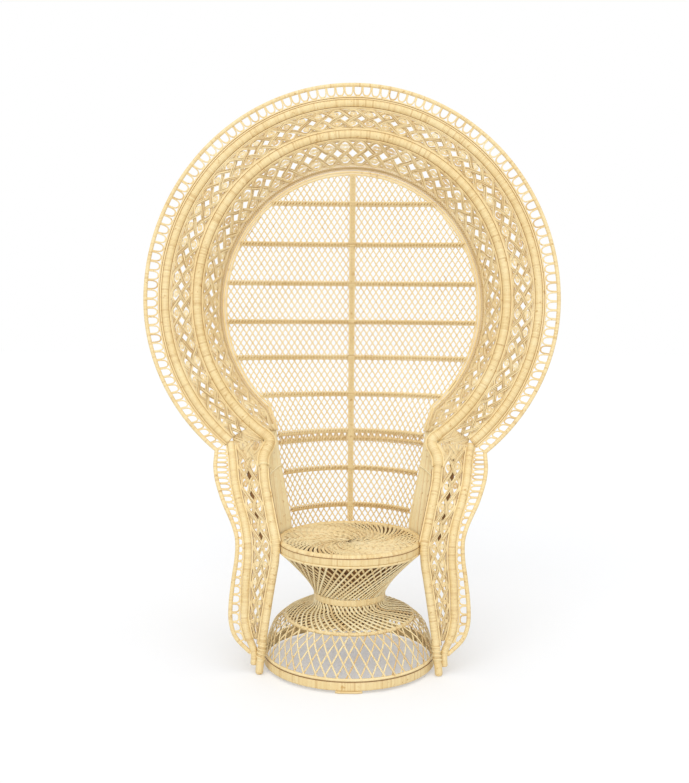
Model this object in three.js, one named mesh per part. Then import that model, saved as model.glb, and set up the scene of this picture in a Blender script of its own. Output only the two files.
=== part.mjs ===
// Peacock chair: a woven cane armchair with a tall round fan back on an hourglass base.
// Millimetres, +Z up, the sitter faces -Y. It is built round the seat's upright axis, from the floor up, and
// moved at the end so that the origin is on the floor in the middle of the whole chair.
import * as THREE from 'three';
import { mergeVertices } from 'three/addons/utils/BufferGeometryUtils.js';

// Corners that lie this close together are one.
const WELD_DISTANCE = 0.0001;

// Clearances between pieces that touch on the real chair.
const CLEARANCE = 0.3;
const LAYER_GAP = 0.7;
const NET_LAYER_GAP = 2.7;
const CAGE_LAYER_GAP = 1;
const WING_LAYER_GAP = 1.6;
const PANEL_BORDER_GAP = 0.9;
const ROW_STANDOFF = 0.8;

// Fan: hoops in one leaning plane. The rim is given by its half width and its reach above and below the
// centre, and each hoop inside it by how far it lies within the one outside it, at the side, top and foot.
const FAN_CENTRE_HEIGHT = 953;
const FAN_LEAN_DEG = 9;
const NECK_DEPTH = 85;
const STATION_DEG = 7;
const RIM_STATIONS = 20;
const INNER_HOOP_STATIONS = 21;
const RIM_HALF_WIDTH = 556.5;
const RIM_REACH_UP = 582.5;
const RIM_REACH_DOWN = 539.5;
const RIM_TUBE_RADIUS = 5.5;
const FRINGE_SIDE_WIDTH = 53.5;
const FRINGE_TOP_WIDTH = 51;
const FRINGE_FOOT_WIDTH = 34.5;
const OUTER_HOOP_TUBE_RADIUS = 10;
const OUTER_LACE_SIDE_WIDTH = 86.5;
const OUTER_LACE_TOP_WIDTH = 85.5;
const OUTER_LACE_FOOT_WIDTH = 62;
const INNER_HOOP_TUBE_RADIUS = 11;
const THIN_ROD_RADIUS = 2.5;
const FRINGE_LOOPS = 108;
const OUTER_LACE_DIAMOND_COUNT = 50;
const INNER_LACE_DIAMOND_COUNT = 45;
const LACE_RIBBON_WIDTH = 11;
const LACE_RIBBON_THICKNESS = 2.6;
const FRINGE_CANE_WIDTH = 4.2;
const FRINGE_CANE_THICKNESS = 3.6;

// Back panel: a dished net inside its own border, set behind the fan's plane.
const PANEL_SETBACK = 45;
const PANEL_CENTRE_DROP = 20;
const INNER_LACE_SIDE_WIDTH = 69.5;
const INNER_LACE_TOP_WIDTH = 82;
const INNER_LACE_FOOT_WIDTH = 79;
const PANEL_STATIONS = 20;
const PANEL_BORDER_ROD_RADIUS = 3;
const PANEL_BOW = 18;
const PANEL_FOOT_ROUNDNESS_SHARE = 0.82;
const PANEL_ROUNDNESS_SHARE = 0.4;
const PANEL_FOOT_DEG = 55;
const PANEL_FOOT_HEIGHT = 300;
const PANEL_STANDOFF = 5;
const PANEL_NECK_RISE = 6;
const PANEL_NECK_HALF_WIDTH = 202;
const NET_PITCH = 50;
const NET_SLOPE_SHARE = 0.69;
const NET_CANE_WIDTH = 4;
const NET_CANE_THICKNESS = 2.4;
const ROW_WIDTH = 8;
const ROW_THICKNESS = 3;
const DOUBLE_ROW_WIDTH = 21;
const ROW_END_GAP = 12;
const SPINE_WIDTH = 17;
const SPINE_THICKNESS = 4;
const SPINE_STANDOFF = 1.2;

// Seat and the hourglass base below it.
const SEAT_HEIGHT = 329;
const SEAT_RADIUS = 187;
const SEAT_BAND_HEIGHT = 24;
const SEAT_BAND_THICKNESS = 7;
const SEAT_ROD_RADIUS = 3.5;
const SEAT_DISH = 7;
const SEAT_WEAVE_THICKNESS = 5;
const SEAT_RIDGE = 2;
const SEAT_SPOKES = 24;
const SEAT_TWIST_DEG = 70;
const WAIST_RADIUS = 94;
const WAIST_BAND_HEIGHT = 17;
const WAIST_BAND_THICKNESS = 5;
const WAIST_HEIGHT = 182;
const MID_RING_RADIUS = 166;
const MID_RING_TUBE_RADIUS = 5;
const MID_RING_HEIGHT = 127;
const BASE_RADIUS = 226;
const BASE_BAND_HEIGHT = 22;
const BASE_BAND_THICKNESS = 7;
const BASE_ROD_RADIUS = 4;
const PAD_HEIGHT = 6;
const PAD_WIDTH = 66;
const PAD_DEPTH = 12;
const CAGE_CANE_WIDTH = 4.6;
const CAGE_CANE_THICKNESS = 2.6;
const SKIRT_CANES = 48;
const SHOULDER_CANES = 34;
const CONE_CANES = 34;
const SKIRT_SWEEP_DEG = 17;
const SHOULDER_SWEEP_DEG = 37;
const CONE_SWEEP_DEG = -42;

// Front posts, which run from the floor to just below the neck, and the wings outside them.
const POST_RADIUS = 10;
const POST_FOOT_HALF_SPREAD = 228;
const POST_TOP_HALF_SPREAD = 231;
const POST_FOOT_DEPTH = 106;
const POST_FOOT_LENGTH = 14;
const POST_WAIST_HEIGHT = 315;
const POST_TOP_DROP = 62;
const POST_SEAT_DEG = 17.5;
const ELBOW_RADIUS = 13;
const ELBOW_STRAIGHT = 4.2;
const ELBOW_HANDLE = 33.6;
const WING_WIDTH = 139;
const WING_SETBACK = 6;
const WING_FOOT_SETBACK = 8;
const WING_POLE_RADIUS = 9.5;
const WING_RIM_RADIUS = 5.5;
const WING_FRINGE_FOOT_HEIGHT = 95;
const WING_LACE_FOOT_HEIGHT = 120;
const WING_LACE_TOP_RISE = 9;
const WING_LACE_DIAMOND_COUNT = 10;
const WING_FRINGE_LOOPS = 20;
const CHEEK_THICKNESS = 4;

const FORWARD = new THREE.Vector3(0, -1, 0);
const radians = THREE.MathUtils.degToRad;
const lean = radians(FAN_LEAN_DEG);
const group = new THREE.Group();

// Colours of the cane: the poles, the thin canes and the shaded inner layers.
const CANE = { pole: '#e4c78f', thin: '#ead2a0', inner: '#cfae74', seat: '#e0c48c' };

function addPiece(name, geometry, colour) {
  geometry.deleteAttribute('normal');
  geometry.deleteAttribute('uv');
  const merged = mergeVertices(geometry, WELD_DISTANCE);
  if (signedVolume(merged) < 0) {
    const order = merged.index.array;
    for (let i = 0; i < order.length; i += 3) {
      const kept = order[i + 1];
      order[i + 1] = order[i + 2];
      order[i + 2] = kept;
    }
  }
  merged.computeVertexNormals();
  const material = new THREE.MeshStandardMaterial({ color: colour, roughness: 0.62, metalness: 0 });
  const mesh = new THREE.Mesh(merged, material);
  mesh.name = name;
  group.add(mesh);
}

function signedVolume(geometry) {
  const at = geometry.attributes.position;
  const order = geometry.index.array;
  const a = new THREE.Vector3();
  const b = new THREE.Vector3();
  const c = new THREE.Vector3();
  let sum = 0;
  for (let i = 0; i < order.length; i += 3) {
    a.fromBufferAttribute(at, order[i]);
    b.fromBufferAttribute(at, order[i + 1]);
    c.fromBufferAttribute(at, order[i + 2]);
    sum += a.dot(b.cross(c));
  }
  return sum;
}

// A path through given stations, so that neighbouring hoops share their facets.
class StationPath extends THREE.Curve {
  constructor(stations) {
    super();
    this.stations = stations;
  }
  getPoint(t) {
    const place = t * (this.stations.length - 1);
    const low = Math.min(Math.floor(place), this.stations.length - 2);
    return this.stations[low].clone().lerp(this.stations[low + 1], place - low);
  }
  getPointAt(t) {
    return this.getPoint(t);
  }
  getTangentAt(t) {
    const index = Math.round(t * (this.stations.length - 1));
    const before = this.stations[Math.max(index - 1, 0)];
    const after = this.stations[Math.min(index + 1, this.stations.length - 1)];
    return after.clone().sub(before).normalize();
  }
}

function roundSection(radius, sides) {
  const corners = [];
  for (let i = 0; i < sides; i += 1) {
    const angle = (i / sides + 0.25) * 2 * Math.PI;
    corners.push(new THREE.Vector2(radius * Math.cos(angle), radius * Math.sin(angle)));
  }
  return new THREE.Shape(corners);
}

function tube(stations, radius, sides) {
  return new THREE.ExtrudeGeometry(roundSection(radius, sides), {
    steps: stations.length - 1,
    bevelEnabled: false,
    extrudePath: new StationPath(stations),
  });
}

// Sections of a cane, in shares of its half width and half thickness: ridged with a flat back, or a ribbon.
const RIDGED_SHARES = [[-1, -1], [1, -1], [0, 1]];
const RIBBON_SHARES = [[-1, -1], [1, -1], [1, 1], [-1, 1]];

// How far a mitred corner may stretch a cane's width.
const MITRE_LIMIT_SHARE = 1.25;

// A cane bent through points, with mitred corners. Each point has the direction that its broad face looks in.
function cane(points, facing, width, thickness, corners, closed) {
  const count = points.length;
  const sides = corners.length;
  const positions = [];
  const order = [];
  for (let i = 0; i < count; i += 1) {
    const here = points[i];
    const before = closed ? points[(i + count - 1) % count] : points[Math.max(i - 1, 0)];
    const after = closed ? points[(i + 1) % count] : points[Math.min(i + 1, count - 1)];
    const arriving = here.clone().sub(before).normalize();
    const leaving = after.clone().sub(here).normalize();
    const along = arriving.clone().add(leaving).normalize();
    const turn = Math.max(along.dot(leaving.lengthSq() > 0 ? leaving : arriving), 0);
    const mitre = Math.min(1 / turn, MITRE_LIMIT_SHARE);
    const side = new THREE.Vector3().crossVectors(along, facing[i]).normalize();
    const out = new THREE.Vector3().crossVectors(side, along).normalize();
    for (const [across, above] of corners) {
      const corner = here.clone();
      corner.addScaledVector(side, (across * width * mitre) / 2);
      corner.addScaledVector(out, (above * thickness) / 2);
      positions.push(corner.x, corner.y, corner.z);
    }
  }
  const spans = closed ? count : count - 1;
  for (let i = 0; i < spans; i += 1) {
    const next = (i + 1) % count;
    for (let k = 0; k < sides; k += 1) {
      const a = i * sides + k;
      const b = i * sides + ((k + 1) % sides);
      const c = next * sides + k;
      const d = next * sides + ((k + 1) % sides);
      order.push(a, b, c, b, d, c);
    }
  }
  if (!closed) {
    const last = (count - 1) * sides;
    for (let k = 1; k < sides - 1; k += 1) {
      order.push(0, k + 1, k, last, last + k, last + k + 1);
    }
  }
  const geometry = new THREE.BufferGeometry();
  geometry.setAttribute('position', new THREE.Float32BufferAttribute(positions, 3));
  geometry.setIndex(order);
  return geometry;
}

// The direction that a surface looks in at a place, on the side nearest to what it should face.
const SURFACE_STEP_SHARE = 0.001;

function facingOf(place, along, across, towards) {
  const here = place(along, across);
  const alongStep = along > 0.5 ? -SURFACE_STEP_SHARE : SURFACE_STEP_SHARE;
  const acrossStep = across > 0.5 ? -SURFACE_STEP_SHARE : SURFACE_STEP_SHARE;
  const a = place(along + alongStep, across).sub(here);
  const b = place(along, across + acrossStep).sub(here);
  const facing = a.cross(b).normalize();
  return facing.dot(towards) < 0 ? facing.negate() : facing;
}

function lerp(a, b, share) {
  return a + (b - a) * share;
}

// Straight runs between table rows of [place, value].
function readTable(rows, place) {
  let i = 1;
  while (i < rows.length - 1 && rows[i][0] < place) {
    i += 1;
  }
  const [p0, v0] = rows[i - 1];
  const [p1, v1] = rows[i];
  return lerp(v0, v1, (place - p0) / (p1 - p0));
}

// Fan hoops: a hoop's exact station, and the flat run between two stations for what lies between.
const RIM = { half: RIM_HALF_WIDTH, up: RIM_REACH_UP, down: RIM_REACH_DOWN };
const OUTER = within(RIM, FRINGE_SIDE_WIDTH, FRINGE_TOP_WIDTH, FRINGE_FOOT_WIDTH);
const INNER = within(OUTER, OUTER_LACE_SIDE_WIDTH, OUTER_LACE_TOP_WIDTH, OUTER_LACE_FOOT_WIDTH);
const PANEL = within(INNER, INNER_LACE_SIDE_WIDTH, INNER_LACE_TOP_WIDTH, INNER_LACE_FOOT_WIDTH);
const panelCentreHeight = FAN_CENTRE_HEIGHT - PANEL_CENTRE_DROP;

function within(hoop, side, top, foot) {
  return { half: hoop.half - side, up: hoop.up - top, down: hoop.down - foot };
}

function fanDepth(height) {
  return NECK_DEPTH + Math.tan(lean) * (height - neckHeight);
}

function hoopStation(hoop, offset, degrees, centreHeight, setback) {
  const angle = radians(degrees);
  const reach = Math.abs(degrees) <= 90 ? hoop.up : hoop.down;
  const along = (reach + offset) * Math.cos(angle);
  const height = centreHeight + along * Math.cos(lean);
  const x = (hoop.half + offset) * Math.sin(angle);
  return new THREE.Vector3(x, fanDepth(height) + setback, height);
}

function hoopPoint(hoop, offset, degrees, centreHeight = FAN_CENTRE_HEIGHT, setback = 0) {
  const low = Math.floor(degrees / STATION_DEG);
  const a = hoopStation(hoop, offset, low * STATION_DEG, centreHeight, setback);
  const b = hoopStation(hoop, offset, (low + 1) * STATION_DEG, centreHeight, setback);
  return a.lerp(b, degrees / STATION_DEG - low);
}

function hoopStations(hoop, offset, stations, centreHeight = FAN_CENTRE_HEIGHT, setback = 0) {
  const path = [];
  for (let i = -stations; i <= stations; i += 1) {
    path.push(hoopStation(hoop, offset, i * STATION_DEG, centreHeight, setback));
  }
  return path;
}

const outerRodOffset = OUTER_HOOP_TUBE_RADIUS + CLEARANCE + THIN_ROD_RADIUS;
const fringeRodOffset = outerRodOffset + 2 * THIN_ROD_RADIUS + CLEARANCE;
const innerRodOffset = INNER_HOOP_TUBE_RADIUS + CLEARANCE + THIN_ROD_RADIUS;
const rimEndDeg = RIM_STATIONS * STATION_DEG;
const innerEndDeg = INNER_HOOP_STATIONS * STATION_DEG;

// The neck is where the inner hoop ends. The posts stop below it and the panel's sides turn out above it.
const neckHeight = FAN_CENTRE_HEIGHT + INNER.down * Math.cos(radians(innerEndDeg)) * Math.cos(lean);
const postTopHeight = neckHeight - POST_TOP_DROP;
const panelNeckHeight = neckHeight + PANEL_NECK_RISE;

// The sides of the round poles and of the thin rods.
const RIM_SIDES = 6;
const POST_SIDES = 8;
const ROD_SIDES = 4;

function hoop(shape, offset, stations, radius, sides) {
  return tube(hoopStations(shape, offset, stations), radius, sides);
}

addPiece('fan_outer_rim', hoop(RIM, 0, RIM_STATIONS, RIM_TUBE_RADIUS, RIM_SIDES), CANE.pole);
addPiece('fan_outer_hoop', hoop(OUTER, 0, RIM_STATIONS, OUTER_HOOP_TUBE_RADIUS, RIM_SIDES), CANE.pole);
addPiece('fan_inner_hoop', hoop(INNER, 0, INNER_HOOP_STATIONS, INNER_HOOP_TUBE_RADIUS, RIM_SIDES), CANE.pole);
addPiece('fringe_rod', hoop(OUTER, fringeRodOffset, RIM_STATIONS, THIN_ROD_RADIUS, ROD_SIDES), CANE.thin);
addPiece('outer_hoop_rod', hoop(OUTER, outerRodOffset, RIM_STATIONS, THIN_ROD_RADIUS, ROD_SIDES), CANE.thin);
const laceRod = hoop(INNER, innerRodOffset, RIM_STATIONS, THIN_ROD_RADIUS, ROD_SIDES);
addPiece('outer_lace_inner_rod', laceRod, CANE.thin);

// One cane scalloped into loops: round at the rod, pointed where two loops meet at the rim.
const SCALLOP_SHARES = [[0, 1], [0.22, 0], [0.78, 0]];
const FRINGE_END_SHARE = 0.003;
const LACE_END_SHARE = 0.01;

function scallop(loops, place) {
  const points = [];
  const facing = [];
  for (let i = 0; i <= loops; i += 1) {
    for (const [along, across] of i < loops ? SCALLOP_SHARES : SCALLOP_SHARES.slice(0, 1)) {
      points.push(place((i + along) / loops, across));
      facing.push(facingOf(place, (i + along) / loops, across, FORWARD));
    }
  }
  return cane(points, facing, FRINGE_CANE_WIDTH, FRINGE_CANE_THICKNESS, RIDGED_SHARES, false);
}

// Edges of the loops: the points' flat backs nest into the many-sided rim.
const rimRecess = (FRINGE_CANE_THICKNESS / 2) * Math.tan(Math.PI / RIM_SIDES);
const fringeRodEdge = FRINGE_CANE_WIDTH / 2 + CLEARANCE;
const wingRimEdge = (FRINGE_CANE_WIDTH / 2) * MITRE_LIMIT_SHARE + CLEARANCE;
const fringeRimEdge = wingRimEdge - rimRecess;

function fanDegrees(along, endShare) {
  return lerp(-rimEndDeg, rimEndDeg, lerp(endShare, 1 - endShare, along));
}

function fringePlace(along, across) {
  const degrees = fanDegrees(along, FRINGE_END_SHARE);
  const inner = hoopPoint(OUTER, fringeRodOffset + THIN_ROD_RADIUS + fringeRodEdge, degrees);
  const outer = hoopPoint(RIM, -RIM_TUBE_RADIUS - fringeRimEdge, degrees);
  return inner.lerp(outer, across);
}

addPiece('fan_loop_fringe', scallop(FRINGE_LOOPS, fringePlace), CANE.thin);

// Two flat ribbons that swing from side to side of a band and cross between the diamonds.
function zigzag(swings, phase, depth, place) {
  const points = [];
  const facing = [];
  for (let i = 0; i <= swings; i += 1) {
    const across = (i + phase) % 2;
    const out = facingOf(place, i / swings, across, FORWARD);
    points.push(place(i / swings, across).addScaledVector(out, -depth));
    facing.push(out);
  }
  return cane(points, facing, LACE_RIBBON_WIDTH, LACE_RIBBON_THICKNESS, RIBBON_SHARES, false);
}

const laceEdge = (LACE_RIBBON_WIDTH / 2) * MITRE_LIMIT_SHARE + CLEARANCE;
const laceDepth = (LACE_RIBBON_THICKNESS + LAYER_GAP) / 2;

function outerLacePlace(along, across) {
  const degrees = fanDegrees(along, LACE_END_SHARE);
  const inner = hoopPoint(INNER, innerRodOffset + THIN_ROD_RADIUS + laceEdge, degrees);
  const outer = hoopPoint(OUTER, -OUTER_HOOP_TUBE_RADIUS - laceEdge, degrees);
  return inner.lerp(outer, across);
}

const outerLaceFront = zigzag(OUTER_LACE_DIAMOND_COUNT, 0, -laceDepth, outerLacePlace);
const outerLaceRear = zigzag(OUTER_LACE_DIAMOND_COUNT, 1, laceDepth, outerLacePlace);
addPiece('outer_lace_front_ribbon', outerLaceFront, CANE.thin);
addPiece('outer_lace_rear_ribbon', outerLaceRear, CANE.inner);

// The panel's border: two rods side by side, and the inner lace that rises from them to the inner hoop.
const borderOffset = PANEL_BORDER_ROD_RADIUS + PANEL_BORDER_GAP / 2;

function borderFoot(offset, side) {
  const height = panelNeckHeight;
  return new THREE.Vector3(side * (PANEL_NECK_HALF_WIDTH + offset), fanDepth(height) + PANEL_SETBACK, height);
}

function borderStations(offset) {
  const round = hoopStations(PANEL, offset, PANEL_STATIONS, panelCentreHeight, PANEL_SETBACK);
  return [borderFoot(offset, -1), ...round, borderFoot(offset, 1)];
}

const borderOuter = tube(borderStations(borderOffset), PANEL_BORDER_ROD_RADIUS, ROD_SIDES);
const borderInner = tube(borderStations(-borderOffset), PANEL_BORDER_ROD_RADIUS, ROD_SIDES);
addPiece('panel_border_outer_rod', borderOuter, CANE.pole);
addPiece('panel_border_inner_rod', borderInner, CANE.pole);

function innerLacePlace(along, across) {
  const degrees = fanDegrees(along, LACE_END_SHARE);
  const borderEdge = borderOffset + PANEL_BORDER_ROD_RADIUS + laceEdge;
  const inner = hoopPoint(PANEL, borderEdge, degrees, panelCentreHeight, PANEL_SETBACK);
  const outer = hoopPoint(INNER, -INNER_HOOP_TUBE_RADIUS - laceEdge, degrees);
  return inner.lerp(outer, across);
}

const innerLaceFront = zigzag(INNER_LACE_DIAMOND_COUNT, 0, -laceDepth, innerLacePlace);
const innerLaceRear = zigzag(INNER_LACE_DIAMOND_COUNT, 1, laceDepth, innerLacePlace);
addPiece('inner_lace_front_ribbon', innerLaceFront, CANE.thin);
addPiece('inner_lace_rear_ribbon', innerLaceRear, CANE.inner);

// Back panel: a dished surface, given by its side edge and its centre line.
const panelRadius = SEAT_RADIUS + PANEL_STANDOFF;
const panelFootHalf = panelRadius * Math.sin(radians(PANEL_FOOT_DEG));
const panelFootDepth = panelRadius * Math.cos(radians(PANEL_FOOT_DEG));
const PANEL_SIDE_SHARES = [[0, 0], [0.18, 0.08], [0.36, 0.3], [0.55, 0.54], [0.73, 0.76], [0.92, 0.95],
  [1, 1]];
const panelTop = hoopStation(PANEL, 0, 0, panelCentreHeight, PANEL_SETBACK);

// The side edge from the foot to the crown, drawn in by an inset, as points [half width, height].
function panelEdge(inset) {
  const points = PANEL_SIDE_SHARES.map(([rise, spread]) => [
    lerp(panelFootHalf, PANEL_NECK_HALF_WIDTH, spread) - inset,
    lerp(PANEL_FOOT_HEIGHT, panelNeckHeight, rise),
  ]);
  for (let i = PANEL_STATIONS; i >= 0; i -= 1) {
    const at = hoopStation(PANEL, -inset, i * STATION_DEG, panelCentreHeight, PANEL_SETBACK);
    points.push([at.x, at.z]);
  }
  return points;
}

function edgeHalf(edge, height) {
  return readTable(edge.map(([half, z]) => [z, half]), height);
}

const panelOutline = panelEdge(0);

function panelEdgeDepth(height) {
  if (height >= panelNeckHeight) {
    return fanDepth(height) + PANEL_SETBACK;
  }
  const share = (height - PANEL_FOOT_HEIGHT) / (panelNeckHeight - PANEL_FOOT_HEIGHT);
  return lerp(panelFootDepth, fanDepth(panelNeckHeight) + PANEL_SETBACK, share);
}

function panelPoint(x, height) {
  const share = (height - PANEL_FOOT_HEIGHT) / (panelTop.z - PANEL_FOOT_HEIGHT);
  const centre = lerp(panelRadius, panelTop.y, share) + PANEL_BOW * Math.sin(Math.PI * Math.min(share, 1));
  const half = Math.max(edgeHalf(panelOutline, height), Math.abs(x));
  const climb = (height - PANEL_FOOT_HEIGHT) / (panelNeckHeight - PANEL_FOOT_HEIGHT);
  const round = lerp(PANEL_FOOT_ROUNDNESS_SHARE, PANEL_ROUNDNESS_SHARE, Math.min(climb, 1));
  const flat = Math.sqrt(1 - round ** 2);
  const dish = (Math.sqrt(1 - (round * x / half) ** 2) - flat) / (1 - flat);
  return new THREE.Vector3(x, lerp(panelEdgeDepth(height), centre, dish), height);
}

const PANEL_STEP_SHARE = 0.002;

function panelFacing(x, height) {
  const here = panelPoint(x, height);
  const step = PANEL_STEP_SHARE * PANEL.half;
  const inward = x > 0 ? -step : step;
  const a = panelPoint(x + inward, height).sub(here);
  const b = panelPoint(x, height - step).sub(here);
  const facing = a.cross(b).normalize();
  return facing.dot(FORWARD) < 0 ? facing.negate() : facing;
}

// Heights of the twined rows, as shares of the panel's height. The net's canes bend at these heights too.
const ROW_SHARES = [0.076, 0.179, 0.272, 0.386, 0.489, 0.588, 0.695, 0.803, 0.915];
const DOUBLE_ROW_INDEX = 2;
const HALVED_ROW_COUNT = 7;
const rowHeights = ROW_SHARES.map((share) => lerp(PANEL_FOOT_HEIGHT, panelTop.z, share));
const panelKnee = hoopStation(PANEL, 0, rimEndDeg, panelCentreHeight, PANEL_SETBACK);
const halfwayHeights = rowHeights.slice(0, HALVED_ROW_COUNT).map((height, i) =>
  (height + (i > 0 ? rowHeights[i - 1] : PANEL_FOOT_HEIGHT)) / 2);
const netLevels = [...rowHeights, ...halfwayHeights, panelKnee.z].sort((a, b) => a - b);

// One layer of the net: a single cane laced to and fro between the sides, all its long runs leaning one way.
const netInset = 2 * PANEL_BORDER_ROD_RADIUS + (NET_CANE_WIDTH / 2) * MITRE_LIMIT_SHARE + CLEARANCE;
const netEdge = panelEdge(netInset);
const NET_SCAN_SHARE = 0.004;
const NET_LEVEL_MARGIN_SHARE = 0.25;
const NET_START_SHARE = 0.25;

function runWithin(foot, direction) {
  const bottom = PANEL_FOOT_HEIGHT + netInset;
  const top = netEdge[netEdge.length - 1][1];
  const step = NET_SCAN_SHARE * (top - bottom);
  const xAt = (height) => foot + direction * NET_SLOPE_SHARE * (height - bottom);
  const inside = (height) => Math.abs(xAt(height)) <= edgeHalf(netEdge, height);
  let best = null;
  let start = null;
  for (let height = bottom; height <= top; height += step) {
    const isIn = inside(height);
    if (isIn && start === null) {
      start = height;
    }
    const ends = start !== null && (!isIn || height + step > top);
    if (ends && (best === null || height - start > best[1] - best[0])) {
      best = [start, height - step];
    }
    if (ends) {
      start = null;
    }
  }
  if (best === null || best[1] - best[0] < NET_PITCH) {
    return null;
  }
  const margin = NET_LEVEL_MARGIN_SHARE * NET_PITCH;
  const levels = netLevels.filter((level) => level > best[0] + margin && level < best[1] - margin);
  return [best[0], ...levels, best[1]].map((height) => [xAt(height), height]);
}

function linkAlongEdge(from, to) {
  const side = Math.sign(from[0] + to[0]);
  const low = Math.min(from[1], to[1]) + NET_PITCH * NET_LEVEL_MARGIN_SHARE;
  const high = Math.max(from[1], to[1]) - NET_PITCH * NET_LEVEL_MARGIN_SHARE;
  const bends = netEdge.filter(([, height]) => height > low && height < high);
  const path = bends.map(([half, height]) => [side * half, height]);
  return from[1] < to[1] ? path : path.reverse();
}

function netLayer(direction, depth) {
  const reach = 2 * PANEL.half + NET_SLOPE_SHARE * (panelTop.z - PANEL_FOOT_HEIGHT);
  const runs = [];
  for (let i = Math.floor(-reach / NET_PITCH); i * NET_PITCH <= reach; i += 1) {
    const run = runWithin(direction * (i + NET_START_SHARE) * NET_PITCH, direction);
    if (run) {
      runs.push(run);
    }
  }
  const path = [];
  runs.forEach((run, i) => {
    const next = i % 2 ? [...run].reverse() : run;
    if (path.length > 0) {
      path.push(...linkAlongEdge(path[path.length - 1], next[0]));
    }
    path.push(...next);
  });
  const facing = path.map(([x, height]) => panelFacing(x, height));
  const points = path.map(([x, height], i) => panelPoint(x, height).addScaledVector(facing[i], -depth));
  return cane(points, facing, NET_CANE_WIDTH, NET_CANE_THICKNESS, RIDGED_SHARES, false);
}

const netDepth = (NET_CANE_THICKNESS + NET_LAYER_GAP) / 2;
addPiece('back_net_front_layer', netLayer(-1, -netDepth), CANE.thin);
addPiece('back_net_rear_layer', netLayer(1, netDepth), CANE.inner);

// Twined rows across the net, the third one a wide double row, and the spine up the middle in front of them.
const rowDepth = netDepth + (NET_CANE_THICKNESS + ROW_THICKNESS) / 2 + ROW_STANDOFF;
const spineDepth = rowDepth + (ROW_THICKNESS + SPINE_THICKNESS) / 2 + SPINE_STANDOFF;
const ROW_STEPS = 12;
const rowInset = netInset + ROW_END_GAP;
const rowEdge = panelEdge(rowInset);

rowHeights.forEach((height, row) => {
  const half = edgeHalf(rowEdge, height);
  const points = [];
  const facing = [];
  for (let i = 0; i <= ROW_STEPS; i += 1) {
    const x = lerp(-half, half, i / ROW_STEPS);
    const out = panelFacing(x, height);
    points.push(panelPoint(x, height).addScaledVector(out, rowDepth));
    facing.push(out);
  }
  const width = row === DOUBLE_ROW_INDEX ? DOUBLE_ROW_WIDTH : ROW_WIDTH;
  const twined = cane(points, facing, width, ROW_THICKNESS, RIBBON_SHARES, false);
  addPiece(`back_row_${row + 1}`, twined, CANE.thin);
});

const spineLow = SEAT_HEIGHT + CLEARANCE;
const spineHigh = panelTop.z - rowInset;
const spineLevels = [spineLow, ...netLevels.filter((level) => level > spineLow), spineHigh];
const spineFacing = spineLevels.map((height) => panelFacing(0, height));
const spinePoints = spineLevels.map((height, i) =>
  panelPoint(0, height).addScaledVector(spineFacing[i], spineDepth));
const spine = cane(spinePoints, spineFacing, SPINE_WIDTH, SPINE_THICKNESS, RIBBON_SHARES, false);
addPiece('back_spine', spine, CANE.thin);

// Front posts. Tables hold [height share, spread share] from the narrowest place down and up.
const POST_LOWER_SHARES = [[0, 1], [0.163, 0.87], [0.279, 0.78], [0.432, 0.615], [0.584, 0.44],
  [0.737, 0.25], [0.886, 0.05], [1, 0]];
const POST_UPPER_SHARES = [[0, 0], [0.09, 0.04], [0.29, 0.29], [0.53, 0.58], [0.76, 0.86], [1, 1]];
const POST_LEAN_SHARE = 1.15;
const postReach = SEAT_RADIUS + POST_RADIUS + 2 * CLEARANCE;
const postWaistHalf = postReach * Math.cos(radians(POST_SEAT_DEG));
const postWaistDepth = -postReach * Math.sin(radians(POST_SEAT_DEG));

const postTable = [
  ...POST_LOWER_SHARES.map(([rise, spread]) => [
    rise * POST_WAIST_HEIGHT, lerp(postWaistHalf, POST_FOOT_HALF_SPREAD, spread)]),
  ...POST_UPPER_SHARES.slice(1).map(([rise, spread]) => [
    lerp(POST_WAIST_HEIGHT, postTopHeight, rise), lerp(postWaistHalf, POST_TOP_HALF_SPREAD, spread)]),
];

function sideDepth(height) {
  if (height < SEAT_HEIGHT) {
    return lerp(-POST_FOOT_DEPTH, postWaistDepth, height / SEAT_HEIGHT);
  }
  const share = (height - SEAT_HEIGHT) / (neckHeight - SEAT_HEIGHT);
  return lerp(postWaistDepth, NECK_DEPTH, share ** POST_LEAN_SHARE);
}

function postPoint(height, side) {
  return new THREE.Vector3(side * readTable(postTable, height), sideDepth(height), height);
}

// Wing poles and rims, as offsets from the post in shares of the wing's width, by height.
const WING_POLE_SHARES = [[0.042, 0.115], [0.078, 0.115], [0.117, 0.15], [0.168, 0.277], [0.26, 0.407],
  [0.351, 0.435], [0.443, 0.489], [0.532, 0.504], [0.603, 0.518], [0.718, 0.507], [0.811, 0.554],
  [0.905, 0.576], [1, 0.59]];
const WING_RIM_SHARES = [[0.11, 0.25], [0.135, 0.395], [0.168, 0.515], [0.206, 0.592], [0.26, 0.663],
  [0.351, 0.702], [0.49, 0.722], [0.603, 0.716], [0.66, 0.703], [0.718, 0.736], [0.811, 0.85], [0.905, 0.912],
  [0.97, 0.936]];
const WING_BLEND_SHARES = [[0, 0], [0.6, 0], [0.8, 0.2], [1, 0.7]];
const WING_FOOT_SHARES = [[0, 1], [0.096, 0.8], [0.2, 0], [1, 0]];
const wingPoleTable = WING_POLE_SHARES.map(([rise, out]) => [rise * postTopHeight, out * WING_WIDTH]);
const wingRimTable = WING_RIM_SHARES.map(([rise, out]) => [rise * postTopHeight, out * WING_WIDTH]);
const rimEnd = hoopStation(RIM, 0, rimEndDeg, FAN_CENTRE_HEIGHT, 0);
const rimBefore = hoopStation(RIM, 0, rimEndDeg - STATION_DEG, FAN_CENTRE_HEIGHT, 0);
const outerEnd = hoopStation(OUTER, 0, rimEndDeg, FAN_CENTRE_HEIGHT, 0);
const outerBefore = hoopStation(OUTER, 0, rimEndDeg - STATION_DEG, FAN_CENTRE_HEIGHT, 0);
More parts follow.
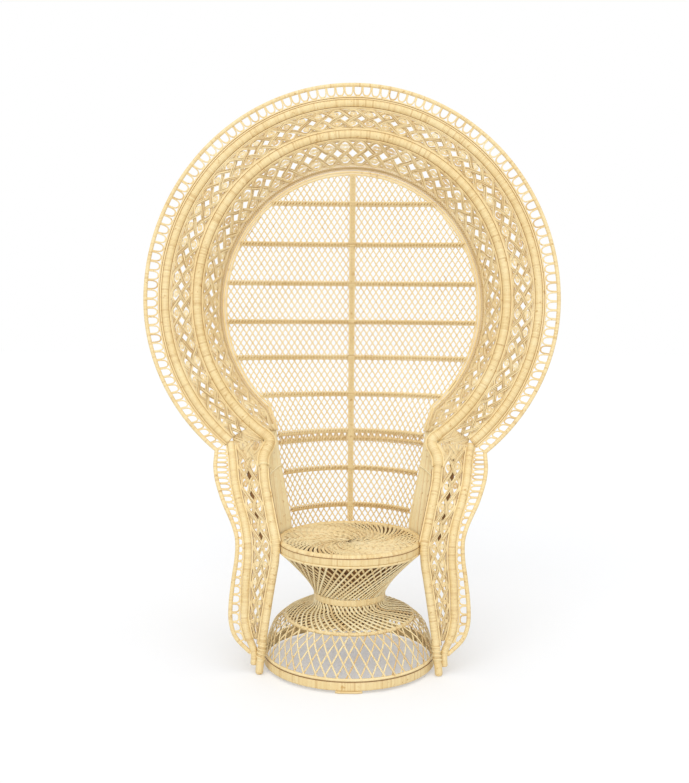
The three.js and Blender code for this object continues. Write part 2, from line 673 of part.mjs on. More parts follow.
const innerEnd = hoopStation(INNER, 0, innerEndDeg, FAN_CENTRE_HEIGHT, 0);
const innerBefore = hoopStation(INNER, 0, innerEndDeg - STATION_DEG, FAN_CENTRE_HEIGHT, 0);

function wingDepth(height) {
  const top = fanDepth(rimEnd.z) - sideDepth(rimEnd.z);
  const rise = Math.min(height / postTopHeight, 1);
  const behindPost = WING_FOOT_SETBACK * readTable(WING_FOOT_SHARES, rise);
  return sideDepth(height) + lerp(WING_SETBACK, top, readTable(WING_BLEND_SHARES, rise)) + behindPost;
}

function wingPoint(table, height, side, offset) {
  const out = readTable(table, height) + offset;
  return new THREE.Vector3(side * (readTable(postTable, height) + out), wingDepth(height), height);
}

function mirrored(point, side) {
  return new THREE.Vector3(side * point.x, point.y, point.z);
}

const wingLaceDepth = (LACE_RIBBON_THICKNESS + WING_LAYER_GAP) / 2;
const CHEEK_COLUMNS = 5;
const CHEEK_ROWS = 6;
const ELBOW_STEPS = 7;

for (const [word, side] of [['left', -1], ['right', 1]]) {
  const post = postTable.map(([height]) => postPoint(height, side));
  post.splice(1, 0, post[0].clone().setZ(POST_FOOT_LENGTH));
  addPiece(`${word}_front_post`, tube(post, POST_RADIUS, POST_SIDES), CANE.pole);

  // Elbow: the wrapped bend that carries the inner hoop over into the post.
  const postTop = post[post.length - 1];
  const rising = postTop.clone().sub(post[post.length - 2]).normalize();
  const falling = mirrored(innerEnd.clone().sub(innerBefore).normalize(), side);
  const start = mirrored(innerEnd, side).addScaledVector(falling, CLEARANCE);
  const finish = postTop.clone().addScaledVector(rising, CLEARANCE);
  const bendStart = start.clone().addScaledVector(falling, ELBOW_STRAIGHT);
  const bendFinish = finish.clone().addScaledVector(rising, ELBOW_STRAIGHT);
  const bend = new THREE.CubicBezierCurve3(
    bendStart, bendStart.clone().addScaledVector(falling, ELBOW_HANDLE),
    bendFinish.clone().addScaledVector(rising, ELBOW_HANDLE), bendFinish);
  const elbow = [start, ...bend.getPoints(ELBOW_STEPS), finish];
  addPiece(`${word}_elbow`, tube(elbow, ELBOW_RADIUS, POST_SIDES), CANE.pole);

  // Wing pole: from the end of the outer hoop down to the floor behind the foot of the post.
  const poleHeights = wingPoleTable.map(([height]) => height);
  const pole = poleHeights.map((height) => wingPoint(wingPoleTable, height, side, 0));
  const hoopHeading = mirrored(outerEnd.clone().sub(outerBefore).normalize(), side);
  pole.push(mirrored(outerEnd, side).addScaledVector(hoopHeading, WING_POLE_RADIUS));
  pole.push(mirrored(outerEnd, side).addScaledVector(hoopHeading, CLEARANCE));
  addPiece(`${word}_wing_pole`, tube(pole, WING_POLE_RADIUS, RIM_SIDES), CANE.pole);

  // Wing rim: from under the end of the fan's rim round to the foot of the wing pole.
  const rimHeading = mirrored(rimEnd.clone().sub(rimBefore).normalize(), side);
  const belowRim = new THREE.Vector3().crossVectors(rimHeading, FORWARD).normalize().multiplyScalar(-side);
  const rimDrop = RIM_TUBE_RADIUS + CLEARANCE + WING_RIM_RADIUS;
  const wingRim = wingRimTable.map(([height]) => wingPoint(wingRimTable, height, side, 0));
  wingRim.push(mirrored(rimEnd, side).addScaledVector(belowRim, rimDrop));
  addPiece(`${word}_wing_rim`, tube(wingRim, WING_RIM_RADIUS, RIM_SIDES), CANE.pole);

  // Wing fringe: loops between the pole and the rim.
  const fringeTop = wingRimTable[wingRimTable.length - 1][0];
  addPiece(`${word}_wing_loop_fringe`, scallop(WING_FRINGE_LOOPS, (along, across) => {
    const height = lerp(fringeTop, WING_FRINGE_FOOT_HEIGHT, along);
    const inner = wingPoint(wingPoleTable, height, side, WING_POLE_RADIUS + fringeRodEdge + 2 * CLEARANCE);
    const outer = wingPoint(wingRimTable, height, side, -WING_RIM_RADIUS - wingRimEdge);
    return inner.lerp(outer, across);
  }), CANE.thin);

  // Wing lace: the two crossing ribbons between the post and the wing pole.
  const lacePlace = (along, across) => {
    const height = lerp(postTopHeight + WING_LACE_TOP_RISE, WING_LACE_FOOT_HEIGHT, along);
    const inner = postPoint(height, side);
    inner.x += side * (ELBOW_RADIUS + laceEdge);
    const outer = wingPoint(wingPoleTable, height, side, -WING_POLE_RADIUS - laceEdge - 2 * CLEARANCE);
    return inner.lerp(outer, across);
  };
  const frontRibbon = zigzag(WING_LACE_DIAMOND_COUNT, 0, -wingLaceDepth, lacePlace);
  const rearRibbon = zigzag(WING_LACE_DIAMOND_COUNT, 1, wingLaceDepth, lacePlace);
  addPiece(`${word}_wing_lace_front_ribbon`, frontRibbon, CANE.thin);
  addPiece(`${word}_wing_lace_rear_ribbon`, rearRibbon, CANE.inner);

  // Cheek: the woven side between the post and the panel's edge, bowed outwards.
  addPiece(`${word}_cheek`, cheek(side), CANE.inner);
}

function cheekPoint(across, up, offset, side) {
  const frontTop = postTopHeight - ELBOW_RADIUS;
  const rearTop = panelNeckHeight - 2 * CLEARANCE;
  const height = lerp(SEAT_HEIGHT - SEAT_BAND_HEIGHT, lerp(frontTop, rearTop, across), up);
  const post = postPoint(Math.min(height, frontTop), 1);
  const rear = new THREE.Vector3(edgeHalf(panelOutline, height) + CLEARANCE, panelEdgeDepth(height), height);
  const chord = rear.clone().sub(post).setZ(0);
  const length = chord.length();
  const along = chord.clone().normalize();
  const out = new THREE.Vector3(along.y, -along.x, 0);
  const keep = POST_RADIUS + CLEARANCE + CHEEK_THICKNESS / 2;
  const near = keep / length;
  const share = lerp(near, 1, across);
  const bow = panelRadius - Math.sqrt(Math.max(panelRadius ** 2 - (length / 2) ** 2, 0));
  const point = new THREE.Vector3(post.x, post.y, height).addScaledVector(along, share * length);
  return mirrored(point.addScaledVector(out, bow * 4 * share * (1 - share) + offset), side);
}

function cheek(side) {
  const positions = [];
  const order = [];
  for (const offset of [-CHEEK_THICKNESS / 2, CHEEK_THICKNESS / 2]) {
    for (let j = 0; j <= CHEEK_ROWS; j += 1) {
      for (let i = 0; i <= CHEEK_COLUMNS; i += 1) {
        const point = cheekPoint(i / CHEEK_COLUMNS, j / CHEEK_ROWS, offset, side);
        positions.push(point.x, point.y, point.z);
      }
    }
  }
  const wide = CHEEK_COLUMNS + 1;
  const sheet = wide * (CHEEK_ROWS + 1);
  for (let j = 0; j < CHEEK_ROWS; j += 1) {
    for (let i = 0; i < CHEEK_COLUMNS; i += 1) {
      const a = j * wide + i;
      order.push(a, a + 1, a + wide, a + 1, a + wide + 1, a + wide);
      order.push(sheet + a, sheet + a + wide, sheet + a + 1);
      order.push(sheet + a + 1, sheet + a + wide, sheet + a + wide + 1);
    }
  }
  const border = [];
  for (let i = 0; i < CHEEK_COLUMNS; i += 1) {
    border.push(i);
  }
  for (let j = 0; j < CHEEK_ROWS; j += 1) {
    border.push(j * wide + CHEEK_COLUMNS);
  }
  for (let i = CHEEK_COLUMNS; i > 0; i -= 1) {
    border.push(CHEEK_ROWS * wide + i);
  }
  for (let j = CHEEK_ROWS; j > 0; j -= 1) {
    border.push(j * wide);
  }
  border.forEach((a, i) => {
    const b = border[(i + 1) % border.length];
    order.push(a, sheet + a, b, b, sheet + a, sheet + b);
  });
  const geometry = new THREE.BufferGeometry();
  geometry.setAttribute('position', new THREE.Float32BufferAttribute(positions, 3));
  geometry.setIndex(order);
  return geometry;
}

// Rings round the upright axis.
function ring(corners, segments) {
  const profile = corners.map(([radius, height]) => new THREE.Vector2(radius, height));
  profile.push(profile[0].clone());
  return new THREE.LatheGeometry(profile, segments).rotateX(Math.PI / 2);
}

function band(outer, thickness, low, high, segments) {
  const inner = outer - thickness;
  return ring([[inner, low], [outer, low], [outer, high], [inner, high]], segments);
}

function ringRod(radius, height, rod, sides, segments) {
  const corners = [];
  for (let i = 0; i < sides; i += 1) {
    const angle = (i / sides) * 2 * Math.PI;
    corners.push([radius + rod * Math.cos(angle), height + rod * Math.sin(angle)]);
  }
  return ring(corners, segments);
}

const SEAT_SEGMENTS = 40;
const seatBandLow = SEAT_HEIGHT - SEAT_BAND_HEIGHT;
const seatRodHeight = seatBandLow - CLEARANCE - SEAT_ROD_RADIUS;
const seatRodRadius = SEAT_RADIUS - SEAT_ROD_RADIUS;
const seatBand = band(SEAT_RADIUS, SEAT_BAND_THICKNESS, seatBandLow, SEAT_HEIGHT, SEAT_SEGMENTS);
const seatRod = ringRod(seatRodRadius, seatRodHeight, SEAT_ROD_RADIUS, ROD_SIDES, SEAT_SEGMENTS);
addPiece('seat_band', seatBand, CANE.pole);
addPiece('seat_rod', seatRod, CANE.pole);

// Seat: a dished disc of spokes wound in a spiral, high on each spoke and low between.
const SEAT_RING_SHARES = [0.14, 0.4, 0.68, 1];
const seatEdge = (SEAT_RADIUS - SEAT_BAND_THICKNESS) * Math.cos(Math.PI / SEAT_SEGMENTS) - CLEARANCE;

function seatWeave() {
  const sectors = 2 * SEAT_SPOKES;
  const positions = [];
  const order = [];
  const addRing = (share, height, ridge) => {
    for (let k = 0; k < sectors; k += 1) {
      const angle = (k / sectors) * 2 * Math.PI + radians(SEAT_TWIST_DEG) * share;
      const lift = k % 2 ? ridge : 0;
      const radius = seatEdge * share;
      positions.push(radius * Math.cos(angle), radius * Math.sin(angle), height + lift);
    }
  };
  const top = (share) => SEAT_HEIGHT - SEAT_RIDGE - SEAT_DISH * (1 - share ** 2);
  positions.push(0, 0, top(0));
  for (const share of SEAT_RING_SHARES) {
    addRing(share, top(share), share < 1 ? SEAT_RIDGE : 0);
  }
  const rings = SEAT_RING_SHARES.length;
  const under = SEAT_HEIGHT - SEAT_RIDGE - SEAT_DISH - SEAT_WEAVE_THICKNESS;
  addRing(1, under, 0);
  positions.push(0, 0, under);
  const bottom = 1 + (rings + 1) * sectors;
  for (let k = 0; k < sectors; k += 1) {
    const next = (k + 1) % sectors;
    order.push(0, 1 + k, 1 + next);
    for (let r = 0; r < rings; r += 1) {
      const a = 1 + r * sectors;
      const b = a + sectors;
      order.push(a + k, b + k, a + next, a + next, b + k, b + next);
    }
    const last = 1 + rings * sectors;
    order.push(bottom, last + next, last + k);
  }
  const geometry = new THREE.BufferGeometry();
  geometry.setAttribute('position', new THREE.Float32BufferAttribute(positions, 3));
  geometry.setIndex(order);
  return geometry;
}

addPiece('seat_weave', seatWeave(), CANE.seat);

// Base rings, from the waist to the floor.
const waistLow = WAIST_HEIGHT - WAIST_BAND_HEIGHT / 2;
const waistHigh = WAIST_HEIGHT + WAIST_BAND_HEIGHT / 2;
const baseBandLow = PAD_HEIGHT + CLEARANCE;
const baseBandHigh = baseBandLow + BASE_BAND_HEIGHT;
const baseRodHeight = baseBandHigh + CLEARANCE + BASE_ROD_RADIUS;
const baseRodRadius = BASE_RADIUS - BASE_ROD_RADIUS;
const waistBand = band(WAIST_RADIUS, WAIST_BAND_THICKNESS, waistLow, waistHigh, CONE_CANES);
const midRing = ringRod(MID_RING_RADIUS, MID_RING_HEIGHT, MID_RING_TUBE_RADIUS, RIM_SIDES, SKIRT_CANES);
const baseBand = band(BASE_RADIUS, BASE_BAND_THICKNESS, baseBandLow, baseBandHigh, SKIRT_CANES);
const baseRod = ringRod(baseRodRadius, baseRodHeight, BASE_ROD_RADIUS, ROD_SIDES, SKIRT_CANES);
addPiece('waist_band', waistBand, CANE.pole);
addPiece('mid_ring', midRing, CANE.pole);
addPiece('base_band', baseBand, CANE.pole);
addPiece('base_rod', baseRod, CANE.pole);

function pad(sign) {
  const reach = BASE_RADIUS - BASE_BAND_THICKNESS / 2;
  return new THREE.BoxGeometry(PAD_WIDTH, PAD_DEPTH, PAD_HEIGHT).translate(0, sign * reach, PAD_HEIGHT / 2);
}

addPiece('front_floor_pad', pad(-1), CANE.pole);
addPiece('rear_floor_pad', pad(1), CANE.pole);

// Cages: one cane laced up and down round the axis, all its long runs leaning one way.
function cage(canes, sweepDegrees, profile, inset) {
  const points = [];
  const facing = [];
  for (let i = 0; i < canes; i += 1) {
    const start = (i / canes) * 2 * Math.PI;
    const rows = i % 2 ? [...profile].reverse() : profile;
    for (const [share, radius, height, outward, upward] of rows) {
      const angle = start + radians(sweepDegrees) * share;
      const out = new THREE.Vector3(outward * Math.cos(angle), outward * Math.sin(angle), upward);
      const point = new THREE.Vector3(radius * Math.cos(angle), radius * Math.sin(angle), height);
      points.push(point.addScaledVector(out, -inset));
      facing.push(out);
    }
  }
  return cane(points, facing, CAGE_CANE_WIDTH, CAGE_CANE_THICKNESS, RIDGED_SHARES, true);
}

// A profile between two rings from shares [sweep, spread, fall], with the outward direction at each row.
function cageProfile(top, bottom, shares) {
  const rows = shares.map(([sweep, spread, fall]) => [
    sweep, lerp(top[0], bottom[0], spread), lerp(top[1], bottom[1], fall)]);
  return rows.map(([sweep, radius, height], i) => {
    const before = rows[Math.max(i - 1, 0)];
    const after = rows[Math.min(i + 1, rows.length - 1)];
    const run = new THREE.Vector2(after[1] - before[1], after[2] - before[2]).normalize();
    return [sweep, radius, height, -run.y, run.x];
  });
}

const cageStep = CAGE_CANE_THICKNESS + CAGE_LAYER_GAP;
const cageEdge = CAGE_CANE_WIDTH / 2 + CLEARANCE;
const waistEdge = CAGE_CANE_THICKNESS / 2 + 2 * CLEARANCE;
const midRingTop = MID_RING_HEIGHT + MID_RING_TUBE_RADIUS * Math.sin((2 * Math.PI) / RIM_SIDES);
const CONE_SHARES = [[0, 0, 0], [0.33, 0.56, 0.5], [1, 1, 1]];
const SHOULDER_SHARES = [[0, 0, 0], [0.62, 0.58, 0.52], [1, 1, 1]];
const SKIRT_SHARES = [[0, 0, 0], [0.4, 0.57, 0.34], [1, 1, 1]];
const midRingEdge = MID_RING_TUBE_RADIUS + CAGE_CANE_THICKNESS / 2 + cageStep - CLEARANCE / 2;
const coneTop = [seatRodRadius - SEAT_ROD_RADIUS / 2, seatRodHeight - SEAT_ROD_RADIUS - cageEdge - CLEARANCE];
const coneBottom = [WAIST_RADIUS, waistHigh + waistEdge];
const shoulderTop = [WAIST_RADIUS, waistLow - waistEdge];
const shoulderBottom = [MID_RING_RADIUS, midRingTop + CAGE_CANE_WIDTH / 2 + cageStep];
const skirtTop = [MID_RING_RADIUS + midRingEdge, MID_RING_HEIGHT];
const skirtBottom = [baseRodRadius, baseRodHeight + BASE_ROD_RADIUS + cageEdge];
const cone = cageProfile(coneTop, coneBottom, CONE_SHARES);
const shoulder = cageProfile(shoulderTop, shoulderBottom, SHOULDER_SHARES);
const skirt = cageProfile(skirtTop, skirtBottom, SKIRT_SHARES);
addPiece('upper_cone_outer_layer', cage(CONE_CANES, CONE_SWEEP_DEG, cone, 0), CANE.thin);
addPiece('upper_cone_inner_layer', cage(CONE_CANES, -CONE_SWEEP_DEG, cone, cageStep), CANE.inner);
addPiece('shoulder_outer_layer', cage(SHOULDER_CANES, SHOULDER_SWEEP_DEG, shoulder, 0), CANE.thin);
addPiece('shoulder_inner_layer', cage(SHOULDER_CANES, -SHOULDER_SWEEP_DEG, shoulder, cageStep), CANE.inner);
addPiece('skirt_outer_layer', cage(SKIRT_CANES, SKIRT_SWEEP_DEG, skirt, 0), CANE.thin);
addPiece('skirt_inner_layer', cage(SKIRT_CANES, -SKIRT_SWEEP_DEG, skirt, cageStep), CANE.inner);

// The seat's axis lies forward of the middle of the chair, where the origin goes.
const extent = new THREE.Box3().setFromObject(group);
group.position.y = -(extent.min.y + extent.max.y) / 2;

export default group;
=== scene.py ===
# Peacock chair: every cane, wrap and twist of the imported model, in metres and in the model's own frame.
import math

import bpy
import numpy as np
from mathutils import Matrix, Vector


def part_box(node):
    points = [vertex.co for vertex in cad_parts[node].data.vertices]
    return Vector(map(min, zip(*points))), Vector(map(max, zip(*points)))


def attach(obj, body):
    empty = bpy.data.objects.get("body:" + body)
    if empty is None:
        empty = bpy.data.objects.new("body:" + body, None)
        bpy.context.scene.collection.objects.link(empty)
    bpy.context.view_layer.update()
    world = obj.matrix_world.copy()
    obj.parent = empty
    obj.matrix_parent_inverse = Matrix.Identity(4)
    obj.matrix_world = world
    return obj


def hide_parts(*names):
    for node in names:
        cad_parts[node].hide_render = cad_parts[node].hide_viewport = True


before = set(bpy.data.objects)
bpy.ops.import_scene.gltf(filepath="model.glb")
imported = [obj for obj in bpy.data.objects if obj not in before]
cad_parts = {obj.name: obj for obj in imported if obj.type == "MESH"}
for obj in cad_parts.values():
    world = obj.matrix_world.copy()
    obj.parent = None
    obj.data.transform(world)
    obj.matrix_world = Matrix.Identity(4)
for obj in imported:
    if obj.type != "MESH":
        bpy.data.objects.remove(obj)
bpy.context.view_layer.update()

# The seat's upright axis, which the chair is built round.
seat_low, seat_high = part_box("seat_band")
SEAT_AXIS = np.array([0.0, (seat_low.y + seat_high.y) / 2, 0.0])

TURN = 2 * math.pi
HANDS = (("left", -1), ("right", 1))
UP = np.array([0.0, 0.0, 1.0])
FORWARD = np.array([0.0, -1.0, 0.0])

# The fan's plane leans back from its neck.
FAN_CENTRE_HEIGHT = 0.953
FAN_LEAN = math.radians(9)
NECK_HEIGHT = 0.586
NECK_DEPTH = 0.085
FAN_FACING = np.array([0.0, -math.cos(FAN_LEAN), math.sin(FAN_LEAN)])
# Its hoops, as half width, reach above and reach below the centre, and the degrees they run down each side.
RIM = (0.5565, 0.5825, 0.5395)
OUTER = (0.503, 0.5315, 0.505)
INNER = (0.4165, 0.446, 0.443)
RIM_END = 140.0
INNER_END = 147.0
RIM_RADIUS = 0.0055
OUTER_RADIUS = 0.010
INNER_RADIUS = 0.011
# Rods beside the hoops, by how far out from a hoop's middle line they lie.
THIN_RADIUS = 0.0025
LINING_RADIUS = 0.0021
OUTER_ROD_OFFSET = 0.0128
FRINGE_ROD_OFFSET = 0.0181
INNER_ROD_OFFSET = 0.0138


def unit(vectors):
    return vectors / np.linalg.norm(vectors, axis=-1, keepdims=True)


def lerp(low, high, share):
    return low + (high - low) * share


def between(low, high, share):
    """Points part of the way from one path to another."""
    return low + (high - low) * np.asarray(share)[..., None]


def points(x, y, z):
    """Points from their coordinates, each an array or one value for all of them."""
    return np.stack(np.broadcast_arrays(x, y, z), axis=-1)


def mirrored(path, hand):
    return path * np.array([hand, 1, 1])


def rounded(values, power):
    """A sine or cosine pushed out towards the corners of its square."""
    return np.sign(values) * np.abs(values) ** power


def travelled(path):
    """How far along a path each of its points is."""
    return np.concatenate([[0.0], np.cumsum(np.linalg.norm(np.diff(path, axis=0), axis=1))])


def path_at(places, knots, path):
    """Points of a path at places between its knots."""
    return np.stack([np.interp(places, knots, values) for values in path.T], axis=-1)


def resample(path, spacing):
    """The same path at even steps."""
    length = travelled(path)
    count = max(int(round(length[-1] / spacing)), 2)
    return path_at(np.linspace(0, length[-1], count + 1), length, path)


def spline(knots, steps):
    """A smooth curve through knots."""
    knots = np.asarray(knots, float)
    padded = np.concatenate([[2 * knots[0] - knots[1]], knots, [2 * knots[-1] - knots[-2]]])
    share = np.linspace(0, 1, steps, endpoint=False)[:, None]
    runs = []
    for a, b, c, d in zip(padded, padded[1:], padded[2:], padded[3:]):
        runs.append(0.5 * (2 * b + (c - a) * share + (2 * a - 5 * b + 4 * c - d) * share ** 2
                           + (3 * b - a - 3 * c + d) * share ** 3))
    return np.concatenate([*runs, knots[-1:]])


def softened(values, reach):
    """Values with their corners rounded off and their ends kept."""
    window = np.hanning(2 * reach + 3)[1:-1]
    before = 2 * values[0] - values[reach:0:-1]
    after = 2 * values[-1] - values[-2:-reach - 2:-1]
    return np.convolve(np.concatenate([before, values, after]), window / window.sum(), "valid")


def softened_path(path, reach):
    return np.stack([softened(values, reach) for values in path.T], axis=-1)


def fan_depth(height):
    return NECK_DEPTH + math.tan(FAN_LEAN) * (height - NECK_HEIGHT)


def hoop(shape, offset, degrees, centre=FAN_CENTRE_HEIGHT, setback=0.0):
    """Points of a hoop, by degrees from its top, moved outwards by an offset."""
    half, up, down = shape
    angle = np.radians(degrees)
    reach = np.where(np.abs(degrees) <= 90, up, down) + offset
    height = centre + reach * np.cos(angle) * math.cos(FAN_LEAN)
    return points((half + offset) * np.sin(angle), fan_depth(height) + setback, height)


def across_path(path, facing, closed=False):
    """Unit vectors across a path and out of it, on the side that it faces."""
    if closed:
        along = np.roll(path, -1, axis=0) - np.roll(path, 1, axis=0)
    else:
        along = np.gradient(path, axis=0)
    along = unit(along)
    side = unit(np.cross(along, np.broadcast_to(facing, path.shape)))
    return side, np.cross(side, along)


SURFACE_STEP = 0.001
NEAR_ZERO = 1e-6


def step_along(place, along, across):
    return place(along + SURFACE_STEP, across) - place(along - SURFACE_STEP, across)


def lay(place, along, across):
    """Points of a surface, and the way it looks there on its front."""
    step_across = place(along, across + SURFACE_STEP) - place(along, across - SURFACE_STEP)
    facing = unit(np.cross(step_along(place, along, across), step_across))
    facing = np.where((facing @ FORWARD)[..., None] < 0, -facing, facing)
    return place(along, across), facing


# Tones of canes: mean, spread, least and greatest.
CANE_TONES = (0.52, 0.13, 0.26, 0.98)
# Thickness of a flattened cane, as a share of its width.
FLATTENED = 0.8


class Weave:
    """Gathers canes into one mesh. Each corner keeps how far along and round its cane it is, and its tone."""

    def __init__(self, seed):
        self.random = np.random.default_rng(seed)
        self.corners = []
        self.marks = []
        self.quads = []
        self.fans = []
        self.count = 0

    def tone(self):
        mean, spread, low, high = CANE_TONES
        return float(np.clip(self.random.normal(mean, spread), low, high))

    def rings(self, rings, tone, closed=False):
        """A skin through rings of corners, as an array of ring, corner, place."""
        steps, sides = rings.shape[:2]
        middle = rings.mean(axis=1)
        around = np.abs(np.linspace(-1, 1, sides, endpoint=False))
        marks = points(travelled(middle)[:, None], around, np.reshape(tone, (-1, 1)))
        index = self.count + np.arange(steps * sides).reshape(steps, sides)
        after = np.roll(index, -1, axis=0) if closed else index[1:]
        before = index if closed else index[:-1]
        quads = np.stack([before, np.roll(before, -1, axis=1), np.roll(after, -1, axis=1), after], axis=-1)
        self.corners.append(rings.reshape(-1, 3))
        self.marks.append(marks.reshape(-1, 3))
        self.quads.append(quads.reshape(-1, 4))
        self.count += steps * sides
        if not closed:
            self.cap(index[0][::-1], middle[0], marks[0, 0])
            self.cap(index[-1], middle[-1], marks[-1, 0])

    def cap(self, index, middle, mark):
        self.corners.append(middle[None, :])
        self.marks.append(mark[None, :])
        self.fans.append(np.stack([index, np.roll(index, -1), np.full(len(index), self.count)], axis=-1))
        self.count += 1

    def cane(self, path, facing, width, thickness, sides=6, tone=None, closed=False):
        """A cane along a path, width across and thickness towards what it faces."""
        side, out = across_path(path, facing, closed)
        angle = TURN * (np.arange(sides)[:, None] + 0.5) / sides
        half = np.reshape(width, (-1, 1, 1)) / 2
        deep = np.reshape(thickness, (-1, 1, 1)) / 2
        rings = path[:, None] + half * np.cos(angle) * side[:, None] + deep * np.sin(angle) * out[:, None]
        self.rings(rings, self.tone() if tone is None else tone, closed)

    def rod(self, path, facing, radius, sides=8, tone=None, closed=False):
        """A round cane along a path."""
        self.cane(path, facing, 2 * radius, 2 * radius, sides, tone, closed)

    def over(self, place, along, across, depth, width, thickness, tone=None, sides=6):
        """A cane laid over a surface, in front of it by a depth."""
        path, facing = lay(place, along, across)
        self.cane(path + depth * facing, facing, width, thickness, sides, tone)

    def twined(self, place, along, across, depth, cane, twist, pitch, phase=0.0, tone=None):
        """Two canes wound round each other over a surface."""
        path, facing = lay(place, along, across)
        path = path + depth * facing
        side, out = across_path(path, facing)
        for k in range(2):
            angle = (TURN * travelled(path) / pitch + math.pi * k + phase)[:, None]
            strand = path + twist * (np.cos(angle) * side + np.sin(angle) * out)
            self.cane(strand, facing, cane, cane, 6, tone)

    def build(self, name, material, slot, *nodes):
        corners = np.concatenate(self.corners) + SEAT_AXIS
        quads = np.concatenate(self.quads)
        fans = np.concatenate(self.fans) if self.fans else np.zeros((0, 3), int)
        mesh = bpy.data.meshes.new(name)
        mesh.vertices.add(len(corners))
        mesh.vertices.foreach_set("co", corners.ravel())
        mesh.loops.add(quads.size + fans.size)
        mesh.loops.foreach_set("vertex_index", np.concatenate([quads.ravel(), fans.ravel()]))
        starts = np.concatenate([4 * np.arange(len(quads)), quads.size + 3 * np.arange(len(fans))])
        mesh.polygons.add(len(starts))
        mesh.polygons.foreach_set("loop_start", starts)
        mesh.polygons.foreach_set("use_smooth", np.ones(len(starts), bool))
        marks = mesh.attributes.new("cane", "FLOAT_VECTOR", "POINT")
        marks.data.foreach_set("vector", np.concatenate(self.marks).ravel())
        mesh.update(calc_edges=True)
        mesh.validate()
        mesh.materials.append(material)
        piece = bpy.data.objects.new(name, mesh)
        bpy.context.scene.collection.objects.link(piece)
        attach(piece, "root")
        if nodes:
            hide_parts(*nodes)


# Rings of one wrap round a pole: how far along it, how far below the pole's face, and their change of tone.
# The darker tone in the groove between wraps is painted shade.
WRAP_PITCH = 0.0040
WRAP_RINGS = ((0.0, 0.042, -0.2), (0.16, 0.008, 0.0), (0.5, 0.0, 0.02), (0.84, 0.008, 0.0))
WRAP_TONES = (0.52, 0.08, 0.3, 0.9)
DARK_WRAP_SHARE = 0.012
DARK_WRAP_TONE = 0.33
LEAST_WRAP_TONE = 0.04


def wrap_rings(weave, count):
    """Place, depth and tone of every ring of a run of wraps, in order."""
    mean, spread, low, high = WRAP_TONES
    tones = np.clip(weave.random.normal(mean, spread, count), low, high)
    tones[weave.random.random(count) < DARK_WRAP_SHARE] = DARK_WRAP_TONE
    share, depth, change = np.array(WRAP_RINGS).T[..., None]
    rings = (np.arange(count) + share, depth + 0 * tones, np.clip(tones + change, LEAST_WRAP_TONE, 1))
    order = np.argsort(rings[0], axis=None)
    return [values.ravel()[order] for values in rings]


def wrapped_pole(weave, path, radius, sides=14, pitch=WRAP_PITCH, facing=FAN_FACING):
    """A pole bound in flat cane, wrap beside wrap."""
    wraps = resample(path, pitch)
    places, depths, tones = wrap_rings(weave, len(wraps) - 1)
    middle = path_at(places, np.arange(len(wraps)), wraps)
    side, out = across_path(middle, facing)
    angle = TURN * np.arange(sides)[:, None] / sides
    swell = radius * (1 - depths[:, None, None])
    spokes = np.cos(angle) * side[:, None] + np.sin(angle) * out[:, None]
    weave.rings(middle[:, None] + swell * spokes, tones)


# Materials.
WHITE = (1.0, 1.0, 1.0, 1.0)


def srgb(red, green, blue):
    def linear(value):
        share = value / 255
        return share / 12.92 if share <= 0.04045 else ((share + 0.055) / 1.055) ** 2.4
    return linear(red), linear(green), linear(blue), 1.0


class Nodes:
    """The nodes of a material or of the world, made and joined in one call each."""

    def __init__(self, owner):
        owner.use_nodes = True
        self.tree = owner.node_tree
        self.tree.nodes.clear()

    def feed(self, socket, value):
        if isinstance(value, bpy.types.NodeSocket):
            self.tree.links.new(value, socket)
        else:
            socket.default_value = value

    def node(self, kind, inputs=None, **settings):
        node = self.tree.nodes.new(kind)
        for key, value in settings.items():
            setattr(node, key, value)
        for key, value in (inputs or {}).items():
            self.feed(node.inputs[key], value)
        return node

    def output(self, kind, inputs=None, **settings):
        return self.node(kind, inputs, **settings).outputs[0]

    def math(self, operation, *values):
        return self.output("ShaderNodeMath", dict(enumerate(values)), operation=operation)

    def noise(self, vector, scale, detail):
        return self.output("ShaderNodeTexNoise", {"Vector": vector, "Scale": scale, "Detail": detail})

    def ramp(self, value, *stops):
        node = self.node("ShaderNodeValToRGB", {"Fac": value})
        elements = node.color_ramp.elements
        while len(elements) < len(stops):
            elements.new(0.5)
        for element, (place, colour) in zip(elements, stops):
            element.position = place
            element.color = colour
        return node.outputs["Color"]

    def multiplied(self, first, second):
        node = self.node("ShaderNodeMix", data_type="RGBA", blend_type="MULTIPLY")
        sockets = {socket.identifier: socket for socket in (*node.inputs, *node.outputs)}
        for key, value in (("Factor_Float", 1.0), ("A_Color", first), ("B_Color", second)):
            self.feed(sockets[key], value)
        return sockets["Result_Color"]


# Places of a cane's tones on its ramp. The lowest is painted shade, the dark of the gaps and creases between
# canes.
PAINTED_SHADE_TONE = 0.0
DARK_TONE = 0.14
PAINTED_SHADE_BROWN = srgb(156, 112, 64)
# Fine fibres: how they run along and round a cane, and how far they shift from tone to tone.
FIBRES_ALONG = 90.0
FIBRES_ROUND = 5.0
FIBRES_SHIFT = 57.0
FIBRE_DEPTH = 0.0003
FIBRE_GLOSS = 0.2
STAIN_SCALE = 9.0
# Tints of fibres, stains and specks: the tint, and where on the noise it starts and ends.
FIBRE_TINT = ((0.94, 0.89, 0.8, 1.0), 0.3, 0.62)
STAIN_TINT = ((0.95, 0.91, 0.83, 1.0), 0.32, 0.66)
SPECK_COLOUR = (0.76, 0.63, 0.46, 1.0)
SPECK_EDGE = 0.1
COAT = 0.06
COAT_ROUGHNESS = 0.35


